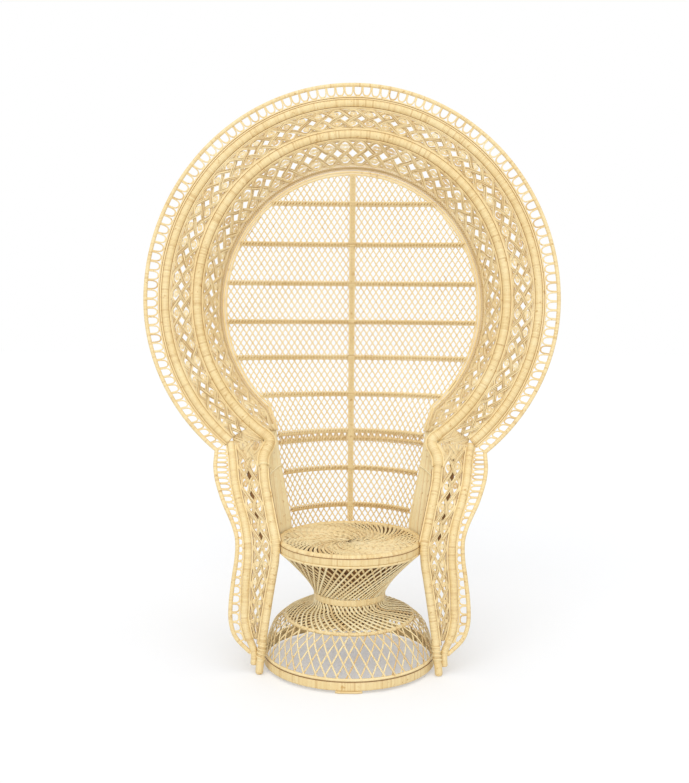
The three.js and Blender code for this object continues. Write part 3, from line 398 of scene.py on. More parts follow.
def cane_material(name, dark, middle, light, roughness, speck_scale=95.0, speck_share=0.36):
    """Peeled rattan: each cane has its own tone, with fine fibres, soft stains and a few dark specks."""
    material = bpy.data.materials.new(name)
    shader = Nodes(material)
    cane = shader.node("ShaderNodeAttribute", attribute_name="cane", attribute_type="GEOMETRY")
    along, around, tone = shader.node("ShaderNodeSeparateXYZ", {"Vector": cane.outputs["Vector"]}).outputs
    fibre_place = shader.output("ShaderNodeCombineXYZ", {
        "X": shader.math("MULTIPLY", along, FIBRES_ALONG),
        "Y": shader.math("MULTIPLY", around, FIBRES_ROUND),
        "Z": shader.math("MULTIPLY", tone, FIBRES_SHIFT)})
    fibres = shader.noise(fibre_place, 1.0, 3.0)
    place = shader.node("ShaderNodeTexCoord").outputs["Object"]
    # The ramp's lowest stop is painted shade; the other stops are the canes' own tones.
    colour = shader.ramp(
        tone, (PAINTED_SHADE_TONE, PAINTED_SHADE_BROWN), (DARK_TONE, srgb(*dark)), (0.5, srgb(*middle)), (1.0, srgb(*light)))
    for noise, (tint, low, high) in (
            (fibres, FIBRE_TINT),
            (shader.noise(place, STAIN_SCALE, 3.0), STAIN_TINT),
            (shader.noise(place, speck_scale, 2.0), (SPECK_COLOUR, speck_share - SPECK_EDGE, speck_share))):
        colour = shader.multiplied(colour, shader.ramp(noise, (low, tint), (high, WHITE)))
    relief = shader.output("ShaderNodeBump", {"Height": fibres, "Strength": 0.5, "Distance": FIBRE_DEPTH})
    surface = shader.output("ShaderNodeBsdfPrincipled", {
        "Base Color": colour,
        "Roughness": shader.math("MULTIPLY_ADD", fibres, FIBRE_GLOSS, roughness),
        "Normal": relief,
        "Coat Weight": COAT,
        "Coat Roughness": COAT_ROUGHNESS})
    shader.node("ShaderNodeOutputMaterial", {"Surface": surface})
    return material


WRAPPED = cane_material("wrapped_cane", (212, 176, 118), (246, 225, 173), (252, 239, 199), 0.38)
SPLIT = cane_material("split_cane", (212, 176, 118), (246, 225, 174), (252, 239, 200), 0.42)
LACED = cane_material("laced_cane", (214, 178, 122), (249, 230, 182), (254, 243, 208), 0.42, 230.0, 0.4)
# A lighter copy of the split cane: painted light that offsets the shade on the cheeks and on the cone and
# shoulder under the seat.
PAINTED_LIGHT_CANE = cane_material("cheek_cane", (228, 198, 144), (254, 242, 202), (255, 249, 222), 0.42)
SHADED = cane_material("shaded_cane", (206, 168, 110), (243, 220, 167), (251, 236, 192), 0.46)
SEAT = cane_material("seat_cane", (216, 180, 124), (251, 234, 188), (255, 246, 212), 0.4)
# Dark brown canes that stand in for shade: painted shade inside the base, behind the wing's lace and under
# the seat.
PAINTED_SHADE_MATERIAL = cane_material("painted_shade_cane", (106, 74, 40), (142, 104, 60), (168, 130, 84), 0.6)


# One loop of a fringe, as shares along and across: from the rim, round beside the rods, and back.
HALF_LOOP = [(0.07, 1.04), (0.06, 0.8), (0.075, 0.55), (0.13, 0.32), (0.27, 0.16), (0.5, 0.1)]
LOOP_SHARES = HALF_LOOP + [(1 - along, across) for along, across in HALF_LOOP[-2::-1]]
LOOP_CANE = 0.0043
LOOP_NUDGE = 0.012
# How far over the rod and over the rim the loops reach, as shares of their radius.
LOOP_ON_ROD = 0.4
LOOP_ON_RIM = 0.8


def loop_fringe(weave, loops, place):
    share, across = spline(LOOP_SHARES, 4).T
    for i in range(loops):
        nudge = weave.random.normal(0, LOOP_NUDGE)
        along = (i + share + nudge * (1 - across)) / loops
        weave.over(place, along, across, 0, LOOP_CANE, FLATTENED * LOOP_CANE)


# The lace: four bundles of canes swing between the sides of a band and weave through each other.
LACE_BUNDLES = 4
LACE_CANES = 5
LACE_CANE_PITCH = 0.0021
LACE_CANE = 0.0019
LACE_EDGE = -0.0014
LACE_SQUEEZE = 0.7
LACE_SHELVING = 0.14
LACE_STEPS = 12
# Breadth of a band from which its bundles are drawn full size, their least size, and their least swing.
FULL_BREADTH = 0.046
LEAST_LACE = 0.4
LEAST_SWING = 0.05
# How far a cane wanders aside, how often in a diamond, and how unevenly the canes of a bundle lie in depth.
LACE_WANDER = 0.0005
WANDER_RATE = 0.37
LACE_UNEVENNESS = 0.0002
# Strips behind a bundle: how far back and how much wider, in canes, and their tone. The first, dark, is
# painted shade in the gaps between the canes; the second, lighter, covers it from behind.
LACE_STRIPS = ((0.4, 0.0, PAINTED_SHADE_TONE), (0.8, 0.5, 0.5))
LACE_STRIP = 0.0008
# Canes along both sides of the lace: how far in, how far in front, and their tone, darker the farther back
# they lie as painted shade.
EDGE_CANES = ((0.0006, -0.0014, 0.6), (0.0034, -0.0034, 0.4), (0.0058, -0.0048, 0.2))
EDGE_CANE = 0.0030
# Which side of the crossing bundle a bundle passes on, by how far it is along its swing.
LACE_TURNS = (0, 0.5, 0.75, 1, 1.25, 1.5, 2, 2.5, 2.75, 3, 3.25, 3.5, 4)
LACE_SIDES = (0, 1, 0, -1, 0, 1, 0, -1, 0, 1, 0, -1, 0)
LACE_DEPTH = 0.0016
LACE_PASSING = 1.7


def lace_wave(turn):
    """The swing of a bundle, steep beside the holes and flat where it crosses the middle."""
    swing = TURN * turn / LACE_BUNDLES
    return (np.cos(swing) + LACE_SHELVING * np.cos(3 * swing)) / (1 + LACE_SHELVING)


def lace_bundles(weave, diamonds, place, pitch=LACE_CANE_PITCH):
    half = LACE_SQUEEZE * (LACE_CANES - 1) * pitch / 2 + LACE_CANE / 2
    at = np.linspace(0, diamonds, diamonds * LACE_STEPS + 1)
    along = at / diamonds
    breadth = np.linalg.norm(place(along, 1) - place(along, 0), axis=-1)
    scale = np.clip(breadth / FULL_BREADTH, LEAST_LACE, 1)
    reach = np.maximum(0.5 - (scale * half + LACE_EDGE) / breadth, LEAST_SWING)
    for bundle in range(LACE_BUNDLES):
        swing = lace_wave(at - bundle)
        path, facing = lay(place, along, 0.5 + reach * swing)
        side, out = across_path(path, facing)
        passing = np.interp((at - bundle) % LACE_BUNDLES, LACE_TURNS, LACE_SIDES)
        depth = LACE_DEPTH * np.sin(np.clip(LACE_PASSING * passing, -1, 1) * math.pi / 2)
        gather = scale * lerp(1, LACE_SQUEEZE, swing ** 6)
        for k in range(LACE_CANES):
            wander = LACE_WANDER * np.sin(TURN * (WANDER_RATE * at + weave.random.random()))
            away = (k - (LACE_CANES - 1) / 2) * pitch * gather + wander
            lift = depth + weave.random.normal(0, LACE_UNEVENNESS)
            strand = path + away[:, None] * side + lift[:, None] * out
            weave.cane(strand, facing, LACE_CANE * scale, LACE_CANE * scale)
        span = (LACE_CANES - 1) * pitch * gather
        for back, wider, tone in LACE_STRIPS:
            strip = path + (depth - back * LACE_CANE)[:, None] * out
            weave.cane(strip, facing, span + wider * LACE_CANE, LACE_STRIP, 6, tone)
    for edge in (0, 1):
        for inset, front, tone in EDGE_CANES:
            across = np.abs(edge - inset / breadth)
            weave.over(place, along, across, front, EDGE_CANE, FLATTENED * EDGE_CANE, tone)


# The coiled canes of the lace, drawn for a band of one breadth and scaled with it.
SCROLL_TURNS = 3.2
SCROLL_PLACE = 0.235
SCROLL_WIDE = 0.0118
SCROLL_TALL = 0.0068
SCROLL_CANE = 0.0024
SCROLL_THICK = 0.9 * SCROLL_CANE
SCROLL_STEPS = 44
SCROLL_BAND = 0.060
SCROLL_TIGHTENING = 0.76
SCROLL_DRIFT = 0.04
SCROLL_SIZES = (0.85, 1.1)
SCROLL_BEHIND = 0.0006


def lace_scrolls(weave, diamonds, place):
    """A coiled cane in each space between the crossings and the arches of the lace."""
    turn = np.linspace(0, 1, SCROLL_STEPS)[:, None]
    spread = 1 - SCROLL_TIGHTENING * turn
    for k in range(1, diamonds):
        for hand in (-1, 1):
            centre = 0.5 + hand * SCROLL_PLACE
            angle = TURN * SCROLL_TURNS * turn + (weave.random.uniform(-0.5, 0.5) + math.pi / 2)
            along = (k + weave.random.normal(0, SCROLL_DRIFT)) / diamonds
            middle, facing = lay(place, along, centre)
            run = unit(step_along(place, along, centre))
            rise = np.cross(facing, run)
            breadth = float(np.linalg.norm(place(along, 1) - place(along, 0)))
            scale = breadth / SCROLL_BAND * weave.random.uniform(*SCROLL_SIZES)
            path = middle + scale * spread * (
                SCROLL_WIDE * np.cos(angle) * run + hand * SCROLL_TALL * np.sin(angle) * rise)
            weave.cane(path - SCROLL_BEHIND * facing, facing, SCROLL_CANE, SCROLL_THICK, 5)


# Fan.
ROD_TONE = 0.55
FRINGE_LOOPS = 108
OUTER_DIAMONDS = 50
INNER_DIAMONDS = 47
HOOP_STEPS = 400
# Thin dark canes in the creases between poles: painted shade, which along the hoops fades lighter towards
# their ends.
CREASE_SHADE_RADIUS = 0.0008
CREASE_SHADE_FADE = 0.13
CREASE_SHADE_FRONT = 0.0012
CREASE_SHADE_GAP = 0.0002
BETWEEN_RODS = (OUTER_ROD_OFFSET + FRINGE_ROD_OFFSET) / 2
# The hoops: piece, node, shape, end, radius, sides, and the lines of painted shade in the creases between the
# hoop and the rods beside it.
HOOPS = (
    ("rim_wrap", "fan_outer_rim", RIM, RIM_END, RIM_RADIUS, 12, ()),
    ("outer_hoop_wrap", "fan_outer_hoop", OUTER, RIM_END, OUTER_RADIUS, 16,
     (-OUTER_RADIUS - CREASE_SHADE_GAP, OUTER_RADIUS + CREASE_SHADE_GAP, BETWEEN_RODS)),
    ("inner_hoop_wrap", "fan_inner_hoop", INNER, INNER_END, INNER_RADIUS, 16,
     (-INNER_RADIUS - CREASE_SHADE_GAP, INNER_RADIUS + CREASE_SHADE_GAP)))
# The rods: piece, node, and the hoop and offset that they follow.
RODS = (
    ("fringe_rod_cane", "fringe_rod", OUTER, FRINGE_ROD_OFFSET),
    ("outer_hoop_rod_cane", "outer_hoop_rod", OUTER, OUTER_ROD_OFFSET),
    ("outer_lace_rod_cane", "outer_lace_inner_rod", INNER, INNER_ROD_OFFSET))


def fan_hoops():
    for seed, (name, node, shape, end, radius, sides, crease_shades) in enumerate(HOOPS, 11):
        turn = np.linspace(-end, end, HOOP_STEPS)
        wrap = Weave(seed)
        wrapped_pole(wrap, hoop(shape, 0, turn), radius, sides)
        if crease_shades:
            wrap.rod(hoop(shape, -radius - LINING_RADIUS, turn), FAN_FACING, LINING_RADIUS)
        for offset in crease_shades:
            line = hoop(shape, offset, turn) + CREASE_SHADE_FRONT * FAN_FACING
            wrap.rod(line, FAN_FACING, CREASE_SHADE_RADIUS, 5, PAINTED_SHADE_TONE + CREASE_SHADE_FADE * (turn / end) ** 2)
        wrap.build(name, WRAPPED, "wrapped_cane", node)


def fan_rods():
    turn = np.linspace(-RIM_END, RIM_END, HOOP_STEPS)
    for seed, (name, node, shape, offset) in enumerate(RODS, 14):
        rod = Weave(seed)
        rod.rod(hoop(shape, offset, turn), FAN_FACING, THIN_RADIUS, 10, ROD_TONE)
        rod.build(name, SPLIT, "split_cane", node)


def fan_band(inner, inner_offset, outer, outer_offset):
    """The surface between two hoops, by shares along and across."""
    def place(along, across):
        turn = lerp(-RIM_END, RIM_END, along)
        return between(hoop(inner, inner_offset, turn), hoop(outer, outer_offset, turn), across)
    return place


def fan_fringe():
    fringe = Weave(17)
    band = fan_band(OUTER, FRINGE_ROD_OFFSET + LOOP_ON_ROD * THIN_RADIUS, RIM, -LOOP_ON_RIM * RIM_RADIUS)
    loop_fringe(fringe, FRINGE_LOOPS, band)
    fringe.build("fan_fringe_loops", SPLIT, "split_cane", "fan_loop_fringe")


# Twisted pairs of canes between the panel's border and the inner lace, by shares across the inner band, with
# a strip of painted shade behind them.
ROPE_SHARE = 0.16
ROPES = (0.045, 0.115)
ROPE_ENDS = (0.008, 0.992)
ROPE_CANE = 0.0026
ROPE_TWIST = 0.0019
ROPE_PITCH = 0.0125
ROPE_TONE = 0.36
ROPE_STRIP = (0.008, 0.0012)
ROPE_STRIP_DEPTH = -0.003


def inner_band(along, across):
    """The band between the panel's border and the inner hoop, which narrows into the neck."""
    turn = lerp(-INNER_END, INNER_END, along)
    held = np.clip(turn, -RIM_END, RIM_END)
    neck = points(np.sign(turn) * PANEL_NECK_HALF, PANEL_NECK_DEPTH, PANEL_NECK_HEIGHT)
    past = (turn - held) * np.sign(turn) / (INNER_END - RIM_END)
    inner = between(panel_hoop(BORDER_OFFSET + BORDER_RADIUS, held), neck, past)
    return between(inner, hoop(INNER, -INNER_RADIUS - 2 * LINING_RADIUS, turn), across)


def inner_lace_place(along, across):
    return inner_band(along, lerp(ROPE_SHARE, 1, across))


def border_ropes(weave):
    along = np.linspace(*ROPE_ENDS, 1500)
    for share in ROPES:
        weave.twined(inner_band, along, share, 0, ROPE_CANE, ROPE_TWIST, ROPE_PITCH, tone=ROPE_TONE)
    # The dark strip behind the ropes is painted shade.
    weave.over(inner_band, along, ROPE_SHARE / 2, ROPE_STRIP_DEPTH, *ROPE_STRIP, PAINTED_SHADE_TONE)


def fan_laces():
    outer_band = fan_band(INNER, INNER_ROD_OFFSET + THIN_RADIUS, OUTER, -OUTER_RADIUS - 2 * LINING_RADIUS)
    for word, diamonds, place, seed in (("outer", OUTER_DIAMONDS, outer_band, 21),
                                        ("inner", INNER_DIAMONDS, inner_lace_place, 23)):
        bundles = Weave(seed)
        lace_bundles(bundles, diamonds, place)
        if word == "inner":
            border_ropes(bundles)
        bundles.build(f"{word}_lace_bundles", LACED, "split_cane", f"{word}_lace_front_ribbon")
        scrolls = Weave(seed + 1)
        lace_scrolls(scrolls, diamonds, place)
        scrolls.build(f"{word}_lace_scrolls", LACED, "split_cane", f"{word}_lace_rear_ribbon")


# Back panel: a dished surface between its border rods and the seat.
PANEL = (0.347, 0.364, 0.364)
PANEL_CENTRE_HEIGHT = 0.933
PANEL_SETBACK = 0.045
BORDER_RADIUS = 0.003
BORDER_STEP = 0.005
BORDER_OFFSET = 0.00345
PANEL_BOW = 0.018
PANEL_FOOT_ROUNDNESS = 0.82
PANEL_ROUNDNESS = 0.4
PANEL_FOOT_HEIGHT = 0.300
PANEL_NECK_HEIGHT = 0.592
PANEL_NECK_HALF = 0.202
PANEL_NECK_DEPTH = fan_depth(PANEL_NECK_HEIGHT) + PANEL_SETBACK
PANEL_RADIUS = 0.192
PANEL_FOOT_TURN = math.radians(55)
PANEL_FOOT_HALF = PANEL_RADIUS * math.sin(PANEL_FOOT_TURN)
PANEL_FOOT_DEPTH = PANEL_RADIUS * math.cos(PANEL_FOOT_TURN)
# The side below the neck, as shares of the rise and of the spread.
PANEL_SIDE = ((0, 0), (0.18, 0.08), (0.36, 0.3), (0.55, 0.54), (0.73, 0.76), (0.92, 0.95), (1, 1))


def panel_hoop(offset, degrees):
    return hoop(PANEL, offset, degrees, PANEL_CENTRE_HEIGHT, PANEL_SETBACK)


PANEL_TOP = panel_hoop(0, 0.0)


def panel_outline():
    """Height and half width up the panel's side."""
    rise, spread = np.array(PANEL_SIDE).T
    low = [lerp(PANEL_FOOT_HEIGHT, PANEL_NECK_HEIGHT, rise), lerp(PANEL_FOOT_HALF, PANEL_NECK_HALF, spread)]
    round_part = panel_hoop(0, np.linspace(RIM_END, 0, 240))
    return np.concatenate([low, round_part[:, [2, 0]].T], axis=1)


EDGE_HEIGHTS, EDGE_HALVES = panel_outline()


def edge_half(height):
    return np.interp(height, EDGE_HEIGHTS, EDGE_HALVES)


def panel_climb(height):
    """How far up to the neck a height is, as a share."""
    return (height - PANEL_FOOT_HEIGHT) / (PANEL_NECK_HEIGHT - PANEL_FOOT_HEIGHT)


def edge_depth(height):
    low = lerp(PANEL_FOOT_DEPTH, PANEL_NECK_DEPTH, panel_climb(height))
    return np.where(height >= PANEL_NECK_HEIGHT, fan_depth(height) + PANEL_SETBACK, low)


def panel_point(across, height):
    share = (height - PANEL_FOOT_HEIGHT) / (PANEL_TOP[2] - PANEL_FOOT_HEIGHT)
    centre = lerp(PANEL_RADIUS, PANEL_TOP[1], share) + PANEL_BOW * np.sin(math.pi * np.clip(share, 0, 1))
    half = np.maximum(edge_half(height), np.abs(across) + NEAR_ZERO)
    rounding = lerp(PANEL_FOOT_ROUNDNESS, PANEL_ROUNDNESS, np.clip(panel_climb(height), 0, 1))
    flat = np.sqrt(1 - rounding ** 2)
    dish = (np.sqrt(1 - (rounding * across / half) ** 2) - flat) / (1 - flat)
    return points(across, lerp(edge_depth(height), centre, dish), height)


# The net: two directions of cane at an even pitch over the dished surface.
NET_PITCH = 0.0168
NET_SLOPE = 0.655
NET_CANE = 0.0039
REAR_NET_CANE = 0.0031
NET_DEPTH = 0.0017
NET_TONE = 0.56
NET_TONE_SPREAD = 0.05
NET_WAVE = 0.1
NET_ROWS = 420
NET_COLUMNS = 81
NET_FOOT = 0.008
NET_INSET = 0.0015
NET_OVERHANG = 0.004
SHORTEST_STRAND = 8
# The cane up each side of the net: its foot, how far out and how far behind it lies, its size and its tone.
BINDING_FOOT = PANEL_FOOT_HEIGHT + 0.01
BINDING_OUT = 0.6 * NET_OVERHANG
BINDING_DEPTH = -3 * NET_DEPTH
BINDING_CANE = (0.0046, 0.004)
BINDING_TONE = 0.6


def net_table():
    """For each height, how far round the panel each place across it lies."""
    heights = np.linspace(PANEL_FOOT_HEIGHT + NET_FOOT, PANEL_TOP[2] - NET_INSET, NET_ROWS)
    overhang = np.where(heights < PANEL_NECK_HEIGHT - NET_OVERHANG, NET_OVERHANG, -NET_INSET)
    across = (edge_half(heights) + overhang)[:, None] * np.linspace(-1, 1, NET_COLUMNS)
    steps = np.linalg.norm(np.diff(panel_point(across, heights[:, None]), axis=1), axis=2)
    run = np.concatenate([np.zeros((NET_ROWS, 1)), np.cumsum(steps, axis=1)], axis=1)
    return heights, across, run - run[:, NET_COLUMNS // 2][:, None]


NET_HEIGHTS, NET_ACROSS, NET_RUN = net_table()


def net_strand(start, hand):
    """The runs of one strand that lie on the panel, as pairs of places across and heights."""
    climb = NET_HEIGHTS - PANEL_FOOT_HEIGHT
    turn = 2 * NET_SLOPE * climb / NET_PITCH
    slack = NET_WAVE * np.sin(TURN * turn) / TURN * NET_PITCH / 2
    run = start + hand * (NET_SLOPE * climb - slack)
    inside = (run > NET_RUN[:, 0]) & (run < NET_RUN[:, -1])
    across = np.array([np.interp(at, row, places) for at, row, places in zip(run, NET_RUN, NET_ACROSS)])
    edges = np.flatnonzero(np.diff(np.concatenate([[False], inside, [False]]).astype(int)))
    pairs = zip(edges[::2], edges[1::2])
    return [(across[a:b], NET_HEIGHTS[a:b]) for a, b in pairs if b - a > SHORTEST_STRAND]


def back_net():
    reach = 2 * PANEL[0] + NET_SLOPE * (PANEL_TOP[2] - PANEL_FOOT_HEIGHT)
    count = int(reach / NET_PITCH)
    for word, front, cane, material, slot, seed in (
            ("front", 1, NET_CANE, SPLIT, "split_cane", 31),
            ("rear", -1, REAR_NET_CANE, SHADED, "shaded_cane", 32)):
        net = Weave(seed)
        for i in range(-count, count + 1):
            for across, height in net_strand(i * NET_PITCH, -front):
                tone = net.random.normal(NET_TONE, NET_TONE_SPREAD)
                net.over(panel_point, across, height, front * NET_DEPTH, cane, FLATTENED * cane, tone)
        if front < 0:
            side_binding(net)
        net.build(f"back_net_{word}_canes", material, slot, f"back_net_{word}_layer")


def side_binding(weave):
    """A cane up each side of the panel, behind the ends of its strands."""
    height = np.linspace(BINDING_FOOT, PANEL_NECK_HEIGHT - NET_OVERHANG, 90)
    for hand in (-1, 1):
        across = hand * (edge_half(height) + BINDING_OUT)
        weave.over(panel_point, across, height, BINDING_DEPTH, *BINDING_CANE, BINDING_TONE, 8)


def panel_border():
    for word, hand, seed in (("outer", 1, 33), ("inner", -1, 34)):
        offset = hand * BORDER_OFFSET
        right = np.array([PANEL_NECK_HALF + offset, PANEL_NECK_DEPTH, PANEL_NECK_HEIGHT])
        path = panel_hoop(offset, np.linspace(-RIM_END, RIM_END, 360))
        path = resample(np.concatenate([[mirrored(right, -1)], path, [right]]), BORDER_STEP)
        border = Weave(seed)
        border.rod(path, FAN_FACING, BORDER_RADIUS, 10, 0.5)
        border.build(f"panel_border_{word}_cane", WRAPPED, "wrapped_cane", f"panel_border_{word}_rod")


# Twined rows: pairs of canes wound round each other, over a dark strip of painted shade and between two
# runners.
ROW_SHARES = (0.076, 0.179, 0.272, 0.386, 0.489, 0.588, 0.695, 0.803, 0.915)
DOUBLE_ROW = 2
DOUBLE_ROW_REACH = 0.0108
ROW_CANE = 0.0042
ROW_TWIST = 0.0040
ROW_RUNNER = (0.0030, 0.0030)
RUNNER_REACH = 0.0056
RUNNER_DEPTH = 0.0048
RUNNER_TONE = 0.62
ROW_SHADE = 0.18
ROW_STRIP = (0.0066, 0.0012)
ROW_STRIP_DEPTH = 0.0032
ROW_DEPTH = 0.0058
ROW_SPACING = 0.0011
ROW_INSET = 0.0015
ZIGZAG_STEPS = 6
ZIGZAG_REACH = 0.8 * DOUBLE_ROW_REACH


def row_heights():
    return [lerp(PANEL_FOOT_HEIGHT, PANEL_TOP[2], share) for share in ROW_SHARES]


def back_rows():
    for row, height in enumerate(row_heights()):
        weave = Weave(40 + row)
        for shift in (-DOUBLE_ROW_REACH, DOUBLE_ROW_REACH) if row == DOUBLE_ROW else (0.0,):
            level = height + shift
            half = float(edge_half(level)) - ROW_INSET
            across = np.linspace(-half, half, int(2 * half / ROW_SPACING))
            weave.twined(panel_point, across, level, ROW_DEPTH, ROW_CANE, ROW_TWIST, NET_PITCH)
            weave.over(panel_point, across, level, ROW_STRIP_DEPTH, *ROW_STRIP, ROW_SHADE)
            for beside in (-RUNNER_REACH, RUNNER_REACH):
                weave.over(panel_point, across, level + beside, RUNNER_DEPTH, *ROW_RUNNER, RUNNER_TONE)
        if row == DOUBLE_ROW:
            row_zigzag(weave, height)
        weave.build(f"back_row_{row + 1}_twine", SPLIT, "split_cane", f"back_row_{row + 1}")


def row_zigzag(weave, height):
    """The cane that runs to and fro between the two ropes of the double row."""
    half = float(edge_half(height)) - ROW_INSET
    swings = int(2 * half / NET_PITCH * 2)
    steps = swings * ZIGZAG_STEPS + 1
    swing = np.arcsin(np.sin(np.linspace(0, swings, steps) * math.pi)) * 2 / math.pi
    across = np.linspace(-half, half, steps)
    level = height + ZIGZAG_REACH * swing
    weave.over(panel_point, across, level, ROW_DEPTH, NET_CANE, FLATTENED * NET_CANE)


# Spine: two plain canes with two twisted pairs between them, over a dark strip of painted shade, bound at
# each row.
SPINE_DEPTH = 0.0105
SPINE_SIDE = 0.0064
SPINE_CANE = (0.0041, 0.0041)
SPINE_TONE = 0.46
SPINE_PAIR = 0.0026
# Of a twisted pair: the width of its canes, how far they lie from its middle, and their pitch.
PAIR_CANES = (0.00369, 0.0024, 0.017)
PAIR_PHASE = 1.3
PAIR_TONE = 0.56
SPINE_STRIP = (0.013, 0.0014)
SPINE_STRIP_DEPTH = 0.0085
SEAT_HEIGHT = 0.329
SPINE_FOOT = SEAT_HEIGHT + 0.002
SPINE_TOP = PANEL_TOP[2] - 0.006
# The knots on the spine: their heights about a row, and the loop's reach aside, up and forward.
KNOT_PLACES = (-0.0042, 0.0, 0.0042)
KNOT_LOOP = (0.0092, 0.0016, 0.0034)
KNOT_CANE = (0.0036, 0.0028)
KNOT_ROUNDING = 0.6


def back_spine():
    spine = Weave(50)
    heights = np.linspace(SPINE_FOOT, SPINE_TOP, 320)
    for hand in (-1, 1):
        spine.over(panel_point, hand * SPINE_SIDE, heights, SPINE_DEPTH, *SPINE_CANE, SPINE_TONE, 8)
        spine.twined(panel_point, hand * SPINE_PAIR, heights, SPINE_DEPTH, *PAIR_CANES,
                     hand * PAIR_PHASE, PAIR_TONE)
    spine.over(panel_point, 0.0, heights, SPINE_STRIP_DEPTH, *SPINE_STRIP, ROW_SHADE)
    for height in row_heights():
        for shift in KNOT_PLACES:
            spine.cane(knot_loop(height + shift), FAN_FACING, *KNOT_CANE, closed=True)
    spine.build("back_spine_canes", SPLIT, "split_cane", "back_spine")


def knot_loop(height):
    """A cane once round the spine."""
    angle = np.linspace(0, TURN, 20, endpoint=False)
    aside, rise, front = KNOT_LOOP
    across = aside * rounded(np.cos(angle), KNOT_ROUNDING)
    path, facing = lay(panel_point, across, height + rise * np.sin(angle))
    return path + (SPINE_DEPTH + front * np.sin(angle))[:, None] * facing


# Front posts. Their half width below and above the waist is given as shares of the rise and of the spread.
POST_RADIUS = 0.010
POST_TOP = 0.524
POST_WAIST = 0.315
POST_FOOT_SPREAD = 0.228
POST_TOP_SPREAD = 0.231
POST_FOOT_DEPTH = 0.106
POST_FOOT_LENGTH = 0.014
POST_REACH = 0.1976
POST_SEAT_TURN = math.radians(17.5)
POST_WAIST_HALF = POST_REACH * math.cos(POST_SEAT_TURN)
POST_WAIST_DEPTH = -POST_REACH * math.sin(POST_SEAT_TURN)
POST_LOWER = ((0, 1), (0.163, 0.87), (0.279, 0.78), (0.432, 0.615), (0.584, 0.44), (0.737, 0.25),
              (0.886, 0.05), (1, 0))
POST_UPPER = ((0.09, 0.04), (0.29, 0.29), (0.53, 0.58), (0.76, 0.86), (1, 1))
POST_LEAN_POWER = 1.15
# Wing pole and wing rim: share of the post's height, and how far out they lie there as a share of the width.
WING_WIDTH = 0.139
WING_POLE_RADIUS = 0.0095
WING_RIM_RADIUS = 0.0055
WING_POLE = ((0.042, 0.115), (0.078, 0.115), (0.117, 0.15), (0.168, 0.277), (0.26, 0.407), (0.351, 0.435),
             (0.443, 0.489), (0.532, 0.504), (0.603, 0.518), (0.718, 0.507), (0.811, 0.554), (0.905, 0.576),
             (1, 0.59))
WING_RIM = ((0.11, 0.25), (0.135, 0.395), (0.168, 0.515), (0.206, 0.592), (0.26, 0.663), (0.351, 0.702),
            (0.49, 0.722), (0.603, 0.716), (0.66, 0.703), (0.718, 0.736), (0.811, 0.85), (0.905, 0.912),
            (0.97, 0.936))
# How far behind the post the wing lies, and how it turns back into the fan's plane and down to its foot.
WING_SETBACK = 0.006
WING_FOOT_SETBACK = 0.008
WING_BLEND = ((0, 0), (0.6, 0), (0.8, 0.2), (1, 0.7))
WING_FOOT = ((0, 1), (0.096, 0.8), (0.2, 0), (1, 0))
SIDE_HEIGHTS = np.linspace(0, 0.60, 301)
SIDE_SOFTENING = 9
RIM_JOIN = hoop(RIM, 0, RIM_END)
OUTER_JOIN = hoop(OUTER, 0, RIM_END)


def table(rows, places):
    return np.interp(places, *np.array(rows).T)


def post_half_table():
    rise, spread = np.array(POST_LOWER).T
    low = np.stack([rise * POST_WAIST, lerp(POST_WAIST_HALF, POST_FOOT_SPREAD, spread)])
    low = np.insert(low, 1, [POST_FOOT_LENGTH, POST_FOOT_SPREAD], axis=1)
    rise, spread = np.array(POST_UPPER).T
    high = np.stack([lerp(POST_WAIST, POST_TOP, rise), lerp(POST_WAIST_HALF, POST_TOP_SPREAD, spread)])
    return softened(np.interp(SIDE_HEIGHTS, *np.concatenate([low, high], axis=1)), SIDE_SOFTENING)


def side_depth_table():
    climb = np.clip((SIDE_HEIGHTS - POST_FOOT_LENGTH) / (SEAT_HEIGHT - POST_FOOT_LENGTH), 0, 1)
    low = lerp(-POST_FOOT_DEPTH, POST_WAIST_DEPTH, climb)
    share = np.clip((SIDE_HEIGHTS - SEAT_HEIGHT) / (NECK_HEIGHT - SEAT_HEIGHT), 0, 2)
    high = lerp(POST_WAIST_DEPTH, NECK_DEPTH, share ** POST_LEAN_POWER)
    return softened(np.where(SIDE_HEIGHTS < SEAT_HEIGHT, low, high), SIDE_SOFTENING)


POST_HALVES = post_half_table()
SIDE_DEPTHS = side_depth_table()
POLE_OUT = softened(table(WING_POLE, SIDE_HEIGHTS / POST_TOP), SIDE_SOFTENING) * WING_WIDTH
RIM_OUT = softened(table(WING_RIM, SIDE_HEIGHTS / POST_TOP), SIDE_SOFTENING) * WING_WIDTH


def post_half(height):
    return np.interp(height, SIDE_HEIGHTS, POST_HALVES)


def side_depth(height):
    return np.interp(height, SIDE_HEIGHTS, SIDE_DEPTHS)


def post_point(height, hand, offset=0.0):
    return points(hand * (post_half(height) + offset), side_depth(height), height)


def wing_depth(height):
    top = fan_depth(RIM_JOIN[2]) - side_depth(RIM_JOIN[2])
    rise = np.minimum(height / POST_TOP, 1)
    setback = lerp(WING_SETBACK, top, table(WING_BLEND, rise))
    return side_depth(height) + setback + WING_FOOT_SETBACK * table(WING_FOOT, rise)


def wing_reach(height, out, top, join):
    """How far out a line of the wing is: by its table up to a top, and from there straight to its hoop."""
    low = post_half(height) + np.interp(height, SIDE_HEIGHTS, out)
    base = float(post_half(top) + np.interp(top, SIDE_HEIGHTS, out))
    return np.where(height < top, low, lerp(base, join[0], (height - top) / (join[2] - top)))


def pole_reach(height):
    return wing_reach(height, POLE_OUT, POST_TOP, OUTER_JOIN)


def rim_reach(height):
    return wing_reach(height, RIM_OUT, WING_RIM[-1][0] * POST_TOP, RIM_JOIN)


def wing_point(reach, height, hand):
    return mirrored(points(reach, wing_depth(height), height), hand)


